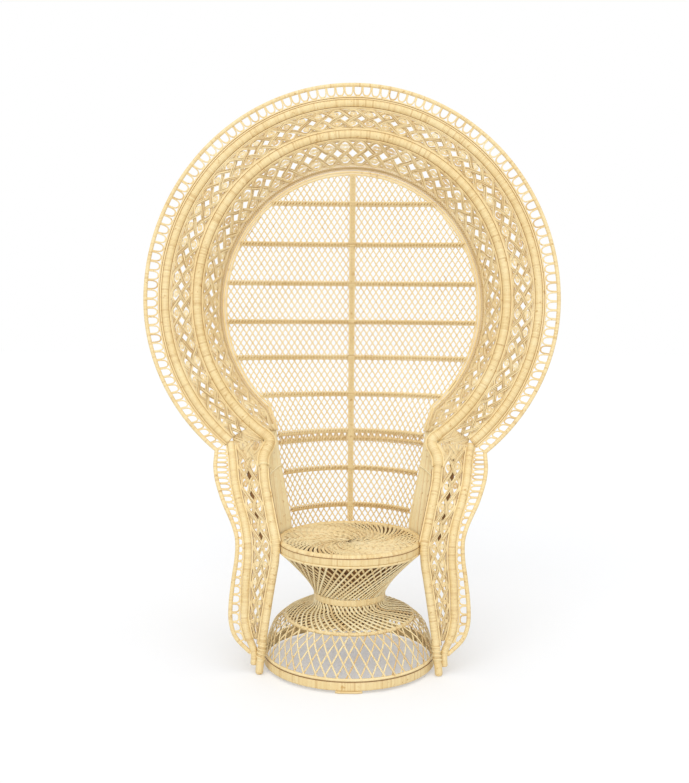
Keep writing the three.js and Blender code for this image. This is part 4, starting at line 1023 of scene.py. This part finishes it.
# Thin canes beside the poles.
GUARD_RADIUS = 0.0022
GUARD_TONE = 0.62
# How far from a guard's middle its line of painted shade lies.
GUARD_CREASE_SHADE = GUARD_RADIUS + 0.6 * CREASE_SHADE_RADIUS

# Elbows, which carry the inner hoop over into the posts.
ELBOW_RADIUS = 0.013
ELBOW_HANDLE = 0.036
ELBOW_PITCH = 0.0052
ELBOW_INTO_HOOP = 0.012
ELBOW_INTO_POST = 0.014
ELBOW_FOOT = POST_TOP - 0.02
ELBOW_GUARD_REACH = ELBOW_RADIUS + 0.7 * GUARD_RADIUS
ELBOW_GUARD_RADIUS = 1.1 * GUARD_RADIUS
SIDE_STEP = 0.004

# The bare foot of a post: height and share of the radius.
FOOT_SHAPE = ((0.0008, 0.62), (0.0018, 0.82), (0.004, 0.95), (0.008, 1.0), (0.034, 1.0))
BARE_FOOT = 0.030
BARE_TONE = 0.45
POST_WRAP_TOP = POST_TOP + 0.004
# A second layer of wraps above and below the seat's band, and a thin cane wound on near the foot.
POST_BANDS = (POST_WAIST - 0.012, POST_WAIST + 0.01)
POST_BAND_TALL = 0.016
POST_BAND_THICK = 0.0010
COIL_HEIGHTS = (0.040, 0.075)
COIL_REACH = POST_RADIUS + 0.0012
COIL_TURNS = 3.5
COIL_CANE = (0.0048, 0.0024)
COIL_TONE = 0.55

# Wings, by height.
WING_LOOPS = 27
# The loops' size at the top of the wing, as a share of the mean.
WING_LOOP_START = 0.56
WING_FRINGE_TOP = 0.548
WING_FRINGE_FOOT = 0.079
WING_LACE_TOP = 0.558
WING_LACE_FOOT = 0.086
WING_DIAMONDS = 11
WING_CANE_PITCH = 0.0020
# How far above its first crossing the lace may be drawn out, in diamonds.
FARTHEST_STEP = 1.2
WING_GUARD_TOP = 0.560
WING_POLE_TOP = 0.566
# The cut end of the wing pole: height over the wraps' end and share of the radius.
POLE_TIP = ((-0.003, 0.5), (-0.0018, 0.82), (0.002, 0.98))
TIP_TONE = 0.4
RIM_FOOT = 0.049
WING_RIM_TOP = RIM_JOIN[2] + 0.002
# Guards beside a post: on its outer or inner side, from one height to another.
POST_GUARDS = ((1, WING_LACE_FOOT - 0.01, POST_TOP - 0.014), (-1, SEAT_HEIGHT + 0.004, POST_TOP - 0.018))


def elbow_bend():
    """The right elbow's middle line, from the inner hoop down to the post, with an end inside each."""
    ends = hoop(INNER, 0, np.array([INNER_END - 2, INNER_END]))
    falling = unit(ends[1] - ends[0])
    top = post_point(np.array([POST_TOP - SIDE_STEP, POST_TOP]), 1)
    rising = unit(top[1] - top[0])
    share = np.linspace(0, 1, 30)[:, None]
    a, b, c, d = ends[1], ends[1] + ELBOW_HANDLE * falling, top[1] + ELBOW_HANDLE * rising, top[1]
    bend = ((1 - share) ** 3 * a + 3 * (1 - share) ** 2 * share * b + 3 * (1 - share) * share ** 2 * c
            + share ** 3 * d)
    return np.concatenate([[a - ELBOW_INTO_HOOP * falling], bend, [d - ELBOW_INTO_POST * rising]])


def sideways(path, reach):
    """The path moved outwards from the chair's middle, within its own upright plane."""
    along = unit(np.gradient(path, axis=0))
    return path + reach * unit(points(-along[:, 2], 0, along[:, 0]))


def crease_shade(weave, path):
    """Painted shade: the dark line in the crease between two poles that lie together."""
    weave.rod(path, FORWARD, CREASE_SHADE_RADIUS, 5, PAINTED_SHADE_TONE)


def front_post(word, hand):
    post = Weave(60 + hand)
    heights, shares = np.array(FOOT_SHAPE).T
    foot = np.interp(np.linspace(0, 1, 24) ** 2, np.linspace(0, 1, len(heights)) ** 2, heights)
    post.rod(post_point(foot, hand), FORWARD, POST_RADIUS * np.interp(foot, heights, shares), 16, BARE_TONE)
    wrapped_pole(post, post_point(np.linspace(BARE_FOOT, POST_WRAP_TOP, 200), hand), POST_RADIUS)
    for low in POST_BANDS:
        level = np.linspace(low, low + POST_BAND_TALL, 8)
        wrapped_pole(post, post_point(level, hand), POST_RADIUS + POST_BAND_THICK)
    foot_coil(post, post_point(np.linspace(*COIL_HEIGHTS, 90), hand))
    for side, low, high in POST_GUARDS:
        level = np.linspace(low, high, 80)
        reach = side * (POST_RADIUS + GUARD_RADIUS)
        post.rod(post_point(level, hand, reach), FORWARD, GUARD_RADIUS, tone=GUARD_TONE)
        crease_shade(post, post_point(level, hand, reach + side * GUARD_CREASE_SHADE))
    post.build(f"{word}_post_wrap", WRAPPED, "wrapped_cane", f"{word}_front_post")


def foot_coil(weave, path):
    """A thin cane wound slantwise round a post."""
    side, out = across_path(path, FORWARD)
    angle = np.linspace(0, TURN * COIL_TURNS, len(path))[:, None]
    coil = path + COIL_REACH * (np.cos(angle) * side + np.sin(angle) * out)
    weave.cane(coil, unit(coil - path), *COIL_CANE, 6, COIL_TONE)


def elbow(word, hand):
    pole = Weave(63 + hand)
    bend = resample(elbow_bend(), SIDE_STEP)
    wrapped_pole(pole, mirrored(bend, hand), ELBOW_RADIUS, 16, ELBOW_PITCH)
    above = hoop(INNER, INNER_ROD_OFFSET, np.linspace(RIM_END - 1, INNER_END - 3, 8))
    outside = np.concatenate([above, sideways(bend, ELBOW_GUARD_REACH)[6:]])
    inside = sideways(bend, -ELBOW_GUARD_REACH)
    pole.rod(mirrored(outside, hand), FORWARD, ELBOW_GUARD_RADIUS, tone=GUARD_TONE)
    pole.rod(mirrored(inside, hand), FORWARD, GUARD_RADIUS, tone=GUARD_TONE)
    pole.build(f"{word}_elbow_wrap", WRAPPED, "wrapped_cane", f"{word}_elbow")


def wing_pole(word, hand):
    pole = Weave(66 + hand)
    heights = np.linspace(WING_POLE[0][0] * POST_TOP, WING_POLE_TOP, 170)
    path = wing_point(pole_reach(heights), heights, hand)
    wrapped_pole(pole, softened_path(resample(path, SIDE_STEP), 6), WING_POLE_RADIUS)
    rise, share = np.array(POLE_TIP).T
    pole.rod(path[0] + rise[:, None] * UP, FORWARD, WING_POLE_RADIUS * share, 14, TIP_TONE)
    for side, foot in ((-1, WING_LACE_FOOT), (1, WING_FRINGE_FOOT)):
        level = np.linspace(foot, WING_GUARD_TOP, 140)
        reach = pole_reach(level) + side * (WING_POLE_RADIUS + GUARD_RADIUS)
        pole.rod(wing_point(reach, level, hand), FORWARD, GUARD_RADIUS, tone=GUARD_TONE)
    level = np.linspace(WING_LACE_FOOT, WING_GUARD_TOP, 140)
    crease_shade(pole, wing_point(pole_reach(level) - WING_POLE_RADIUS - GUARD_RADIUS - GUARD_CREASE_SHADE, level, hand))
    pole.build(f"{word}_wing_pole_wrap", WRAPPED, "wrapped_cane", f"{word}_wing_pole")


def wing_rim(word, hand):
    rim = Weave(69 + hand)
    heights = np.linspace(WING_RIM[0][0] * POST_TOP, WING_RIM_TOP, 140)
    foot = wing_point(pole_reach(RIM_FOOT) + WING_POLE_RADIUS, RIM_FOOT, hand)
    path = np.concatenate([[foot], wing_point(rim_reach(heights), heights, hand)])
    wrapped_pole(rim, softened_path(resample(path, SIDE_STEP), 5), WING_RIM_RADIUS, 12)
    rim.build(f"{word}_wing_rim_wrap", WRAPPED, "wrapped_cane", f"{word}_wing_rim")


def lace_inner_guide():
    """The lace's inner side in the wing: down the inner hoop, the elbow and the post, from top to foot."""
    turn = np.linspace(RIM_END, INNER_END - 1, 8)
    down_hoop = hoop(INNER, INNER_RADIUS + 2 * GUARD_RADIUS, turn)
    round_elbow = sideways(elbow_bend(), ELBOW_RADIUS + 0.5 * GUARD_RADIUS)[3:-2]
    heights = np.linspace(ELBOW_FOOT, WING_LACE_FOOT, 80)
    guide = np.concatenate([down_hoop, round_elbow, post_point(heights, 1, POST_RADIUS + 2 * GUARD_RADIUS)])
    return guide[np.concatenate([[True], np.diff(np.minimum.accumulate(guide[:, 2])) < 0])]


LACE_GUIDE = lace_inner_guide()


def wing_fringe_band(hand):
    """The band between wing pole and wing rim, from the top down."""
    def place(along, across):
        height = lerp(WING_FRINGE_TOP, WING_FRINGE_FOOT, along * lerp(WING_LOOP_START, 1, along))
        inner = wing_point(pole_reach(height) + WING_POLE_RADIUS + GUARD_RADIUS, height, hand)
        outer = wing_point(rim_reach(height) - LOOP_ON_RIM * WING_RIM_RADIUS, height, hand)
        return between(inner, outer, across)
    return place


def wing_lace_band(hand):
    """The band between post and wing pole. Its first diamond turns the fan's lace down into the wing."""
    top = hoop(OUTER, -OUTER_RADIUS, RIM_END)

    def place(along, across):
        step = along * WING_DIAMONDS - 1
        height = lerp(WING_LACE_TOP, WING_LACE_FOOT, step / (WING_DIAMONDS - 1))
        inner_height = np.where(step < 0, lerp(WING_LACE_TOP, LACE_GUIDE[0, 2], -step), height)
        outer_height = np.where(step < 0, lerp(WING_LACE_TOP, top[2], -step), height)
        inner = path_at(-inner_height, -LACE_GUIDE[:, 2], LACE_GUIDE)
        reach = pole_reach(height) - WING_POLE_RADIUS - 2 * GUARD_RADIUS
        reach = np.where(step < 0, lerp(reach, top[0], np.clip(-step, 0, FARTHEST_STEP)), reach)
        outer = points(reach, wing_depth(np.minimum(outer_height, SIDE_HEIGHTS[-1])), outer_height)
        return mirrored(between(inner, outer, across), hand)
    return place


# Flat canes side by side under the lace where the fan's band turns down into the wing.
SIDE_TO_SIDE = (0.02, 0.98)
MAT_CANES = 19
MAT_REACH = (-0.01, 0.15)
MAT_SPREAD = 0.003
MAT_DEPTH = -0.003
MAT_CANE = (0.0036, 0.0022)
# Dark canes behind the holes of the upper lace, painted shade for the dim space behind them, with lighter
# canes on their rear side.
HOLE_LINING = (0.42, 0.5, 0.58)
HOLE_LINING_REACH = (0.1, 0.52)
HOLE_SHADE_DEPTH = -0.0065
HOLE_SHADE_CANE = (0.0052, 0.002)
HOLE_BACK_DEPTH = -0.0082
HOLE_BACK_CANE = (0.0060, 0.0014)


def junction_mat(weave, place):
    share = np.linspace(*MAT_REACH, 20)
    for across in np.linspace(*SIDE_TO_SIDE, MAT_CANES):
        weave.over(place, share + weave.random.normal(0, MAT_SPREAD), across, MAT_DEPTH, *MAT_CANE)


def hole_canes(weave, place, depth, cane):
    for across in HOLE_LINING:
        weave.over(place, np.linspace(*HOLE_LINING_REACH, 60), across, depth, *cane)


def wing_fringe(word, hand):
    fringe = Weave(72 + hand)
    loop_fringe(fringe, WING_LOOPS, wing_fringe_band(hand))
    fringe.build(f"{word}_wing_fringe_loops", SPLIT, "split_cane", f"{word}_wing_loop_fringe")


def wing_lace(word, hand):
    place = wing_lace_band(hand)
    bundles = Weave(75 + hand)
    lace_bundles(bundles, WING_DIAMONDS, place, WING_CANE_PITCH)
    bundles.build(f"{word}_wing_lace_bundles", LACED, "split_cane", f"{word}_wing_lace_front_ribbon")
    scrolls = Weave(78 + hand)
    lace_scrolls(scrolls, WING_DIAMONDS, place)
    junction_mat(scrolls, place)
    hole_canes(scrolls, place, HOLE_BACK_DEPTH, HOLE_BACK_CANE)
    scrolls.build(f"{word}_wing_lace_scrolls", LACED, "split_cane", f"{word}_wing_lace_rear_ribbon")
    # Painted shade: dark canes behind the holes of the lace.
    shade_layer = Weave(110 + hand)
    hole_canes(shade_layer, place, HOLE_SHADE_DEPTH, HOLE_SHADE_CANE)
    shade_layer.build(f"{word}_wing_lace_painted_shade", PAINTED_SHADE_MATERIAL, "shaded_cane")


# Cheeks: upright canes side by side, bowed out between the post and the back.
CHEEK_CANES = 36
CHEEK_STEPS = 60
CHEEK_FOOT = SEAT_HEIGHT - 0.024
CHEEK_FRONT_TOP = POST_TOP - ELBOW_RADIUS
CHEEK_THICK = 0.0034
CHEEK_OVERLAP = 1.02
CHEEK_FROM_POST = POST_RADIUS + 0.0023
# The cane that carries one of the back's rows over the cheek on to the post, and how far it falls on the way.
CHEEK_ROD_HEIGHT = 0.5
CHEEK_ROD_FALL = 0.024
CHEEK_ROD = (0.005, 0.0044)
CHEEK_ROD_DEPTH = 0.003
CHEEK_ROD_TONE = 0.9
# Canes from the inner lace's end on to the cheek: where they start along the lace and end up the cheek.
NECK_CANES = 11
NECK_CANE = (0.0052, 0.0028)
NECK_BOW = 0.004
NECK_START = 0.993
NECK_END = 0.96


def cheek_point(across, up):
    height = lerp(CHEEK_FOOT, lerp(CHEEK_FRONT_TOP, PANEL_NECK_HEIGHT, across), up)
    post = post_point(np.minimum(height, CHEEK_FRONT_TOP), 1)
    chord = (points(edge_half(height), edge_depth(height), height) - post) * [1, 1, 0]
    length = np.linalg.norm(chord, axis=-1)
    run = unit(chord)
    share = lerp(CHEEK_FROM_POST / length, 1, across)
    bow = PANEL_RADIUS - np.sqrt(np.maximum(PANEL_RADIUS ** 2 - (length / 2) ** 2, 0))
    point = points(post[..., 0], post[..., 1], height) + (share * length)[..., None] * run
    out = points(run[..., 1], -run[..., 0], 0)
    return point + (bow * 4 * share * (1 - share))[..., None] * out


def cheek_rod(weave, hand):
    across = np.linspace(0, 1, 16)
    top = lerp(CHEEK_FRONT_TOP, PANEL_NECK_HEIGHT, across)
    height = CHEEK_ROD_HEIGHT - CHEEK_ROD_FALL * (1 - across)
    path, facing = lay(cheek_point, across, (height - CHEEK_FOOT) / (top - CHEEK_FOOT))
    inward = np.where(facing[:, :1] > 0, -facing, facing)
    path = path + CHEEK_ROD_DEPTH * inward
    weave.cane(mirrored(path, hand), mirrored(inward, hand), *CHEEK_ROD, 8, CHEEK_ROD_TONE)


def neck_mat(weave, hand):
    """Canes that carry the inner lace's end down on to the cheek, behind the elbow."""
    share = np.linspace(0, 1, 12)
    bow = NECK_BOW * np.sin(math.pi * share)[:, None] * FORWARD
    for across in np.linspace(*SIDE_TO_SIDE, NECK_CANES):
        path = between(inner_band(NECK_START, across), cheek_point(1 - across, NECK_END), share) - bow
        weave.cane(mirrored(path, hand), FORWARD, *NECK_CANE)


def cheek(word, hand):
    canes = Weave(81 + hand)
    up = np.linspace(0, 1, CHEEK_STEPS)
    half = 0.5 / CHEEK_CANES
    for across in (np.arange(CHEEK_CANES) + 0.5) / CHEEK_CANES:
        path, facing = lay(cheek_point, across, up)
        breadth = np.linalg.norm(cheek_point(across + half, up) - cheek_point(across - half, up), axis=-1)
        canes.cane(mirrored(path, hand), mirrored(facing, hand), CHEEK_OVERLAP * breadth, CHEEK_THICK)
    cheek_rod(canes, hand)
    neck_mat(canes, hand)
    canes.build(f"{word}_cheek_canes", PAINTED_LIGHT_CANE, "shaded_cane", f"{word}_cheek")


# Rings round the seat's axis.
SEAT_RADIUS = 0.187
SEAT_BAND_TALL = 0.024
SEAT_ROLL = 0.0075
SEAT_ROLL_RISE = 0.003
WAIST_RADIUS = 0.094
WAIST_HEIGHT = 0.182
WAIST_BAND_TALL = 0.017
MID_RADIUS = 0.166
MID_HEIGHT = 0.127
MID_ROD_RADIUS = 0.005
BASE_RADIUS = 0.226
# Wrapped bands: name, outer radius, foot, height, thickness and pitch of the strips, and the line of painted
# shade along their top edge, as its inset, lift and width.
BANDS = (
    ("seat", SEAT_RADIUS, SEAT_HEIGHT - SEAT_BAND_TALL, 0.0175, 0.007, 0.0034, (0, 0.0002, 0.0018)),
    ("waist", WAIST_RADIUS, WAIST_HEIGHT - WAIST_BAND_TALL / 2, WAIST_BAND_TALL, 0.005, 0.0042, None),
    ("base", BASE_RADIUS, 0.0063, 0.022, 0.007, 0.0034, (0.0004, 0.0004, 0.0016)))
# Plain rods: name, outer radius, height and the rod's own radius.
RING_RODS = (("seat_rod", SEAT_RADIUS, 0.3012, 0.0035), ("base_rod", BASE_RADIUS, 0.0326, 0.004))
RING_ROD_TONE = 0.6
BAND_SIDES = 16
BAND_CORNERS = 0.45
# How much of a wrap's groove shows on a band's faces and on its edges.
GROOVE_OUT = 2.2
GROOVE_LIFT = 0.3


def round_axis(radius, turn, height):
    return points(radius * np.cos(turn), radius * np.sin(turn), height)


def circle(radius, height, steps=361):
    return round_axis(radius, np.linspace(0, TURN, steps) + math.pi / 2, height)


def closed_circle(radius, height):
    return circle(radius, height, 241)[:-1]


def wrapped_band(weave, radius, height, tall, thick, pitch):
    """A flat ring bound in upright strips."""
    count = len(resample(circle(radius, height), pitch)) - 1
    places, depths, tones = wrap_rings(weave, count)
    turn, depth = TURN * places[:, None] / count, depths[:, None]
    angle = TURN * (np.arange(BAND_SIDES) + 0.5) / BAND_SIDES
    lift = rounded(np.sin(angle), BAND_CORNERS) * tall / 2
    out = rounded(np.cos(angle), BAND_CORNERS) * thick / 2
    reach = radius + out * (1 - GROOVE_OUT * depth)
    weave.rings(round_axis(reach, turn, height + lift * (1 - GROOVE_LIFT * depth)), tones, closed=True)


def base_rings():
    for seed, (name, radius, foot, tall, thick, pitch, line) in enumerate(BANDS, 90):
        band = Weave(seed)
        wrapped_band(band, radius - thick / 2, foot + tall / 2, tall, thick, pitch)
        if name == "seat":
            roll = circle(SEAT_RADIUS - SEAT_ROLL, SEAT_HEIGHT - SEAT_ROLL + SEAT_ROLL_RISE)
            wrapped_pole(band, roll, SEAT_ROLL, facing=UP)
        # A dark line of painted shade in the crease along the band's top edge.
        if line:
            inset, lift, width = line
            path = closed_circle(radius - inset, foot + tall + lift)
            band.cane(path, UP, width, width, 6, PAINTED_SHADE_TONE, closed=True)
        band.build(f"{name}_band_wrap", WRAPPED, "wrapped_cane", f"{name}_band")
    for seed, (name, radius, height, rod) in enumerate(RING_RODS, 93):
        ring = Weave(seed)
        ring.rod(closed_circle(radius - rod, height), UP, rod, 10, RING_ROD_TONE, closed=True)
        ring.build(f"{name}_cane", SPLIT, "split_cane", name)
    mid = Weave(95)
    wrapped_pole(mid, circle(MID_RADIUS, MID_HEIGHT), MID_ROD_RADIUS, 12, facing=UP)
    mid.build("mid_ring_wrap", WRAPPED, "wrapped_cane", "mid_ring")


# Cages of the hourglass base: share of the sweep, radius and height, from the top down.
CONE = ((0.1835, 0.2985), (0.0925, 0.189))
SHOULDER = ((0, 0.0915, 0.1735), (0.134, 0.0935, 0.161), (0.29, 0.106, 0.1535), (0.58, 0.1325, 0.1475),
            (1, 0.1675, 0.1305))
SKIRT = ((0, 0.1725, 0.1275), (0.4, 0.202, 0.0975), (1, 0.2225, 0.034))
CAGE_STEPS = 28
CAGE_LAYER_GAP = 0.0034
CAGE_SPREAD = 0.06
CONE_SPREAD = 0.08
CONE_SWEEP = math.radians(43)
THICKEST_CANE = 0.003
# Dark canes close inside the cone and the shoulder, painted shade for the dim inside of the base. In front,
# those of the shoulder stop higher.
SHADE_LINING_CANES = 60
SHADE_LINING_CANE = 0.0125
SHADE_LINING_INSET = 0.0085
SHADE_LINING_TURN = math.radians(20)
SHADE_LINING_FRONT_REACH = 0.66
FRONT_SECTOR = math.radians(52)


def cage(weave, rows, canes, sweep, inset, cane, front_reach=1.0):
    """A ring of slanting canes down the surface that the rows describe. In front they can end higher."""
    height = np.linspace(rows[0][2], rows[-1][2], CAGE_STEPS + 1)
    knots = spline(rows, CAGE_STEPS).T
    share, radius = (np.interp(-height, -knots[2], values) for values in knots[:2])
    run = unit(np.gradient(np.stack([radius, height], axis=-1), axis=0))
    for i in range(canes):
        turn = TURN * (i + weave.random.normal(0, CAGE_SPREAD)) / canes + sweep * share
        in_front = -math.sin(turn[CAGE_STEPS // 2]) > math.cos(FRONT_SECTOR)
        kept = share <= (front_reach if in_front else 1.0)
        out = round_axis(-run[:, 1], turn, run[:, 0])
        path = round_axis(radius, turn, height) - inset * out
        weave.cane(path[kept], out[kept], cane, min(0.5 * cane, THICKEST_CANE), 8)


def ruled_cage(weave, rims, canes, sweep, inset, cane):
    """A ring of straight slanting canes between the cone's two rims."""
    share = np.linspace(0, 1, 13)
    top, foot = rims
    lean = unit(np.array([top[1] - foot[1], foot[0] - top[0]]))
    for i in range(canes):
        turn = TURN * (i + weave.random.normal(0, CONE_SPREAD)) / canes
        path = between(round_axis(top[0], turn, top[1]), round_axis(foot[0], turn + sweep, foot[1]), share)
        out = unit(path * [1, 1, 0]) * lean[0] + lean[1] * UP
        weave.cane(path - inset * out, out, cane, min(0.5 * cane, THICKEST_CANE), 8)


# The cages: name, function that lays them, surface, canes, sweep and width of a cane.
CAGES = (
    ("upper_cone", ruled_cage, CONE, 54, -CONE_SWEEP, 0.0056),
    ("shoulder", cage, SHOULDER, 52, math.radians(37), 0.0058),
    ("skirt", cage, SKIRT, 48, math.radians(16), 0.0046))


def base_cages():
    for first_seed, hand, word, inset, material, slot in (
            (96, 1, "outer", 0.0, PAINTED_LIGHT_CANE, "split_cane"),
            (97, -1, "inner", CAGE_LAYER_GAP, LACED, "shaded_cane")):
        for number, (name, lay_canes, surface, canes, sweep, cane) in enumerate(CAGES):
            layer = Weave(first_seed + 2 * number)
            lay_canes(layer, surface, canes, hand * sweep, inset, cane)
            looks = LACED if name == "skirt" else material
            layer.build(f"{name}_{word}_canes", looks, slot, f"{name}_{word}_layer")


# Painted shade: the dark canes inside the cone and the shoulder.
def cage_shade_linings():
    cone = Weave(107)
    ruled_cage(cone, CONE, SHADE_LINING_CANES, CONE_SWEEP, SHADE_LINING_INSET, SHADE_LINING_CANE)
    cone.build("upper_cone_painted_shade_canes", PAINTED_SHADE_MATERIAL, "shaded_cane")
    shoulder = Weave(108)
    cage(shoulder, SHOULDER, SHADE_LINING_CANES, SHADE_LINING_TURN, SHADE_LINING_INSET, SHADE_LINING_CANE, SHADE_LINING_FRONT_REACH)
    shoulder.build("shoulder_painted_shade_canes", PAINTED_SHADE_MATERIAL, "shaded_cane")


# Seat: a whirl of round canes over a second whirl the other way, inside a rolled rim.
SEAT_DISH = 0.007
SEAT_DROP = 0.002
SEAT_EDGE = 0.1735
SEAT_TWIST = math.tan(math.radians(40))
SEAT_GROUPS = 64
GROUP_CANES = 3
SEAT_STEPS = 56
SEAT_CANE = 0.0029
SEAT_WAVES = 13
SEAT_WAVE = 0.0011
# How far the canes of a group draw together, and over which shares of the radius.
GATHERING = 0.42
GATHER_FROM = 0.56
GATHER_BY = 0.72
# Where each of eight neighbouring groups starts, as a share of the radius.
SEAT_STARTS = (0.03, 0.55, 0.3, 0.55, 0.14, 0.55, 0.3, 0.55)
# How unevenly the groups start and their canes lie.
START_SPREAD = 0.03
PLACE_SPREAD = 0.03
# Over which shares of the radius a cane's wave and its breadth come in.
WAVE_RUN_IN = 0.1
BREADTH_RUN_IN = 0.05
LEAST_BREADTH = 0.35
# The second whirl is the dense core under the first, and a third one closes the seat from below, dark brown
# as painted shade in the gaps of the whirls above.
CORE_DROP = 0.0024
CORE_REACH = 0.66
UNDER_DROP = 0.0062


def seat_height(share):
    return SEAT_HEIGHT - SEAT_DROP - SEAT_DISH * (1 - share ** 2)


def whirl(weave, twist, drop, reach=1.0):
    for group in range(SEAT_GROUPS):
        low = SEAT_STARTS[group % len(SEAT_STARTS)] + weave.random.uniform(0, START_SPREAD)
        share = np.linspace(low, reach, SEAT_STEPS)
        gather = GATHERING * np.clip((share - GATHER_FROM) / (GATHER_BY - GATHER_FROM), 0, 1)
        run_in = np.clip((share - low) / WAVE_RUN_IN, 0, 1)
        breadth = SEAT_CANE * np.clip((share - low) / BREADTH_RUN_IN, LEAST_BREADTH, 1)
        for k in range(GROUP_CANES):
            beside = (k - (GROUP_CANES - 1) / 2) / GROUP_CANES
            place = beside * (1 - gather) + weave.random.normal(0, PLACE_SPREAD)
            turn = TURN * (group + place) / SEAT_GROUPS + twist * np.log(share)
            wave = SEAT_WAVE * np.sin(TURN * SEAT_WAVES * share + math.pi * (group + k))
            height = seat_height(share) - drop + wave * run_in
            weave.cane(round_axis(SEAT_EDGE * share, turn, height), UP, breadth, breadth)


def seat_weave():
    seat = Weave(103)
    whirl(seat, SEAT_TWIST, 0.0)
    whirl(seat, -SEAT_TWIST, CORE_DROP, CORE_REACH)
    seat.build("seat_whirl", SEAT, "seat_cane", "seat_weave")
    # The under-whirl closes the seat, and its dark colour is painted shade.
    under = Weave(104)
    whirl(under, -SEAT_TWIST, UNDER_DROP)
    under.build("seat_under_whirl", PAINTED_SHADE_MATERIAL, "shaded_cane")


PAD_WIDE = 0.066
PAD_DEEP = 0.012
PAD_TALL = 0.006
PAD_PLACE = BASE_RADIUS - 0.0035
PAD_ROUNDING = 8
PAD_END = 0.2
PAD_TONE = 0.4


def floor_pads():
    across = np.linspace(-PAD_WIDE / 2, PAD_WIDE / 2, 60)
    ends = np.clip(1 - (2 * np.abs(across) / PAD_WIDE) ** PAD_ROUNDING, PAD_END, 1)
    for word, hand, seed in (("front", -1, 105), ("rear", 1, 106)):
        pad = Weave(seed)
        pad.cane(points(across, hand * PAD_PLACE, PAD_TALL / 2), UP, PAD_DEEP * ends, PAD_TALL, 12, PAD_TONE)
        pad.build(f"{word}_pad_wood", WRAPPED, "wrapped_cane", f"{word}_floor_pad")


for part in (fan_hoops, fan_rods, fan_fringe, fan_laces, back_net, panel_border, back_rows, back_spine):
    part()
for side_parts in ((front_post, elbow), (wing_pole, wing_rim), (wing_fringe, wing_lace), (cheek,)):
    for word, hand in HANDS:
        for part in side_parts:
            part(word, hand)
for part in (base_rings, base_cages, cage_shade_linings, seat_weave, floor_pads):
    part()


# The studio. The floor's paint is brighter to the camera than to the light that it throws back.
AMBIENT = 0.68
FLOOR_REACH = 12.0
FLOOR_PLAIN = (0.8, 0.8, 0.8, 1.0)
FLOOR_BRIGHT = (0.735, 0.745, 0.76, 1.0)
FLOOR_GLOW = 0.263


def stage():
    """The floor, which stays white but keeps the chair's shadow."""
    mesh = bpy.data.meshes.new("floor")
    corners = [(x * FLOOR_REACH, y * FLOOR_REACH, 0) for x, y in ((-1, -1), (1, -1), (1, 1), (-1, 1))]
    mesh.from_pydata(corners, [], [(0, 1, 2, 3)])
    floor = bpy.data.objects.new("floor", mesh)
    bpy.context.scene.collection.objects.link(floor)
    paint = bpy.data.materials.new("floor_paint")
    shader = Nodes(paint)
    plain = shader.output("ShaderNodeBsdfDiffuse", {"Color": FLOOR_PLAIN})
    bright = shader.output("ShaderNodeBsdfDiffuse", {"Color": FLOOR_BRIGHT})
    glow = shader.output("ShaderNodeEmission", {"Color": WHITE, "Strength": FLOOR_GLOW})
    lit = shader.output("ShaderNodeAddShader", {0: bright, 1: glow})
    seen = shader.node("ShaderNodeLightPath").outputs["Is Camera Ray"]
    surface = shader.output("ShaderNodeMixShader", {0: seen, 1: plain, 2: lit})
    shader.node("ShaderNodeOutputMaterial", {"Surface": surface})
    mesh.materials.append(paint)


def backdrop():
    """A white background over soft light from all round."""
    world = bpy.data.worlds.new("studio")
    bpy.context.scene.world = world
    sky = Nodes(world)
    soft = sky.output("ShaderNodeBackground", {"Color": WHITE, "Strength": AMBIENT})
    white = sky.output("ShaderNodeBackground", {"Color": WHITE, "Strength": 1.0})
    rays = sky.node("ShaderNodeLightPath").outputs
    clear = sky.math("MAXIMUM", rays["Is Glossy Ray"], rays["Is Transmission Ray"])
    seen = sky.math("MAXIMUM", rays["Is Camera Ray"], clear)
    surface = sky.output("ShaderNodeMixShader", {0: seen, 1: soft, 2: white})
    sky.node("ShaderNodeOutputWorld", {"Surface": surface})


def placed(name, data, place, right, up, back):
    """An object at a place, with its three axes."""
    holder = bpy.data.objects.new(name, data)
    rows = [(*row, at) for row, at in zip(np.stack([right, up, back], axis=1), place)]
    holder.matrix_world = Matrix(rows + [(0, 0, 0, 1)])
    bpy.context.scene.collection.objects.link(holder)
    return holder


def lamp(name, place, aim, softness, strength):
    """A soft sun, so that the floor is lit evenly."""
    light = bpy.data.lights.new(name, "SUN")
    light.angle = math.radians(softness)
    light.energy = strength
    back = unit(np.array(place) - aim)
    right = unit(np.cross(UP, back))
    placed(name, light, place, right, np.cross(back, right), back)


# The camera, from the photograph's vanishing lines and ellipses: focal length in pixels of a 689-wide frame.
FRAME_WIDTH = 689
FOCAL = 1000
SENSOR_WIDTH = 36
CAMERA_PLACE = (0.0, -2.56, 0.982)
CAMERA_CLIP = 60
PITCH = math.radians(5.99)
YAW = math.radians(0.38)
ROLL = math.radians(0.40)


def camera():
    data = bpy.data.cameras.new("camera")
    data.sensor_fit = "HORIZONTAL"
    data.sensor_width = SENSOR_WIDTH
    data.lens = SENSOR_WIDTH * FOCAL / FRAME_WIDTH
    data.clip_end = CAMERA_CLIP
    ahead = np.array([-math.sin(YAW) * math.cos(PITCH), math.cos(YAW) * math.cos(PITCH), -math.sin(PITCH)])
    level = np.array([math.cos(YAW), math.sin(YAW), 0.0])
    rise = np.cross(level, ahead)
    right = math.cos(ROLL) * level + math.sin(ROLL) * rise
    up = math.cos(ROLL) * rise - math.sin(ROLL) * level
    bpy.context.scene.camera = placed("camera", data, CAMERA_PLACE + SEAT_AXIS, right, up, -ahead)


stage()
backdrop()
lamp("key_light", (-1.0, -2.6, 2.9), (0, 0, 0.7), 50, 0.64)
lamp("fill_light", (0.6, -3.0, 0.9), (0, 0, 0.7), 60, 0.92)
lamp("top_light", (0.05, 0.0, 3.0), (0, 0, 0), 40, 0.56)
camera()
bpy.context.scene.view_settings.view_transform = "Standard"
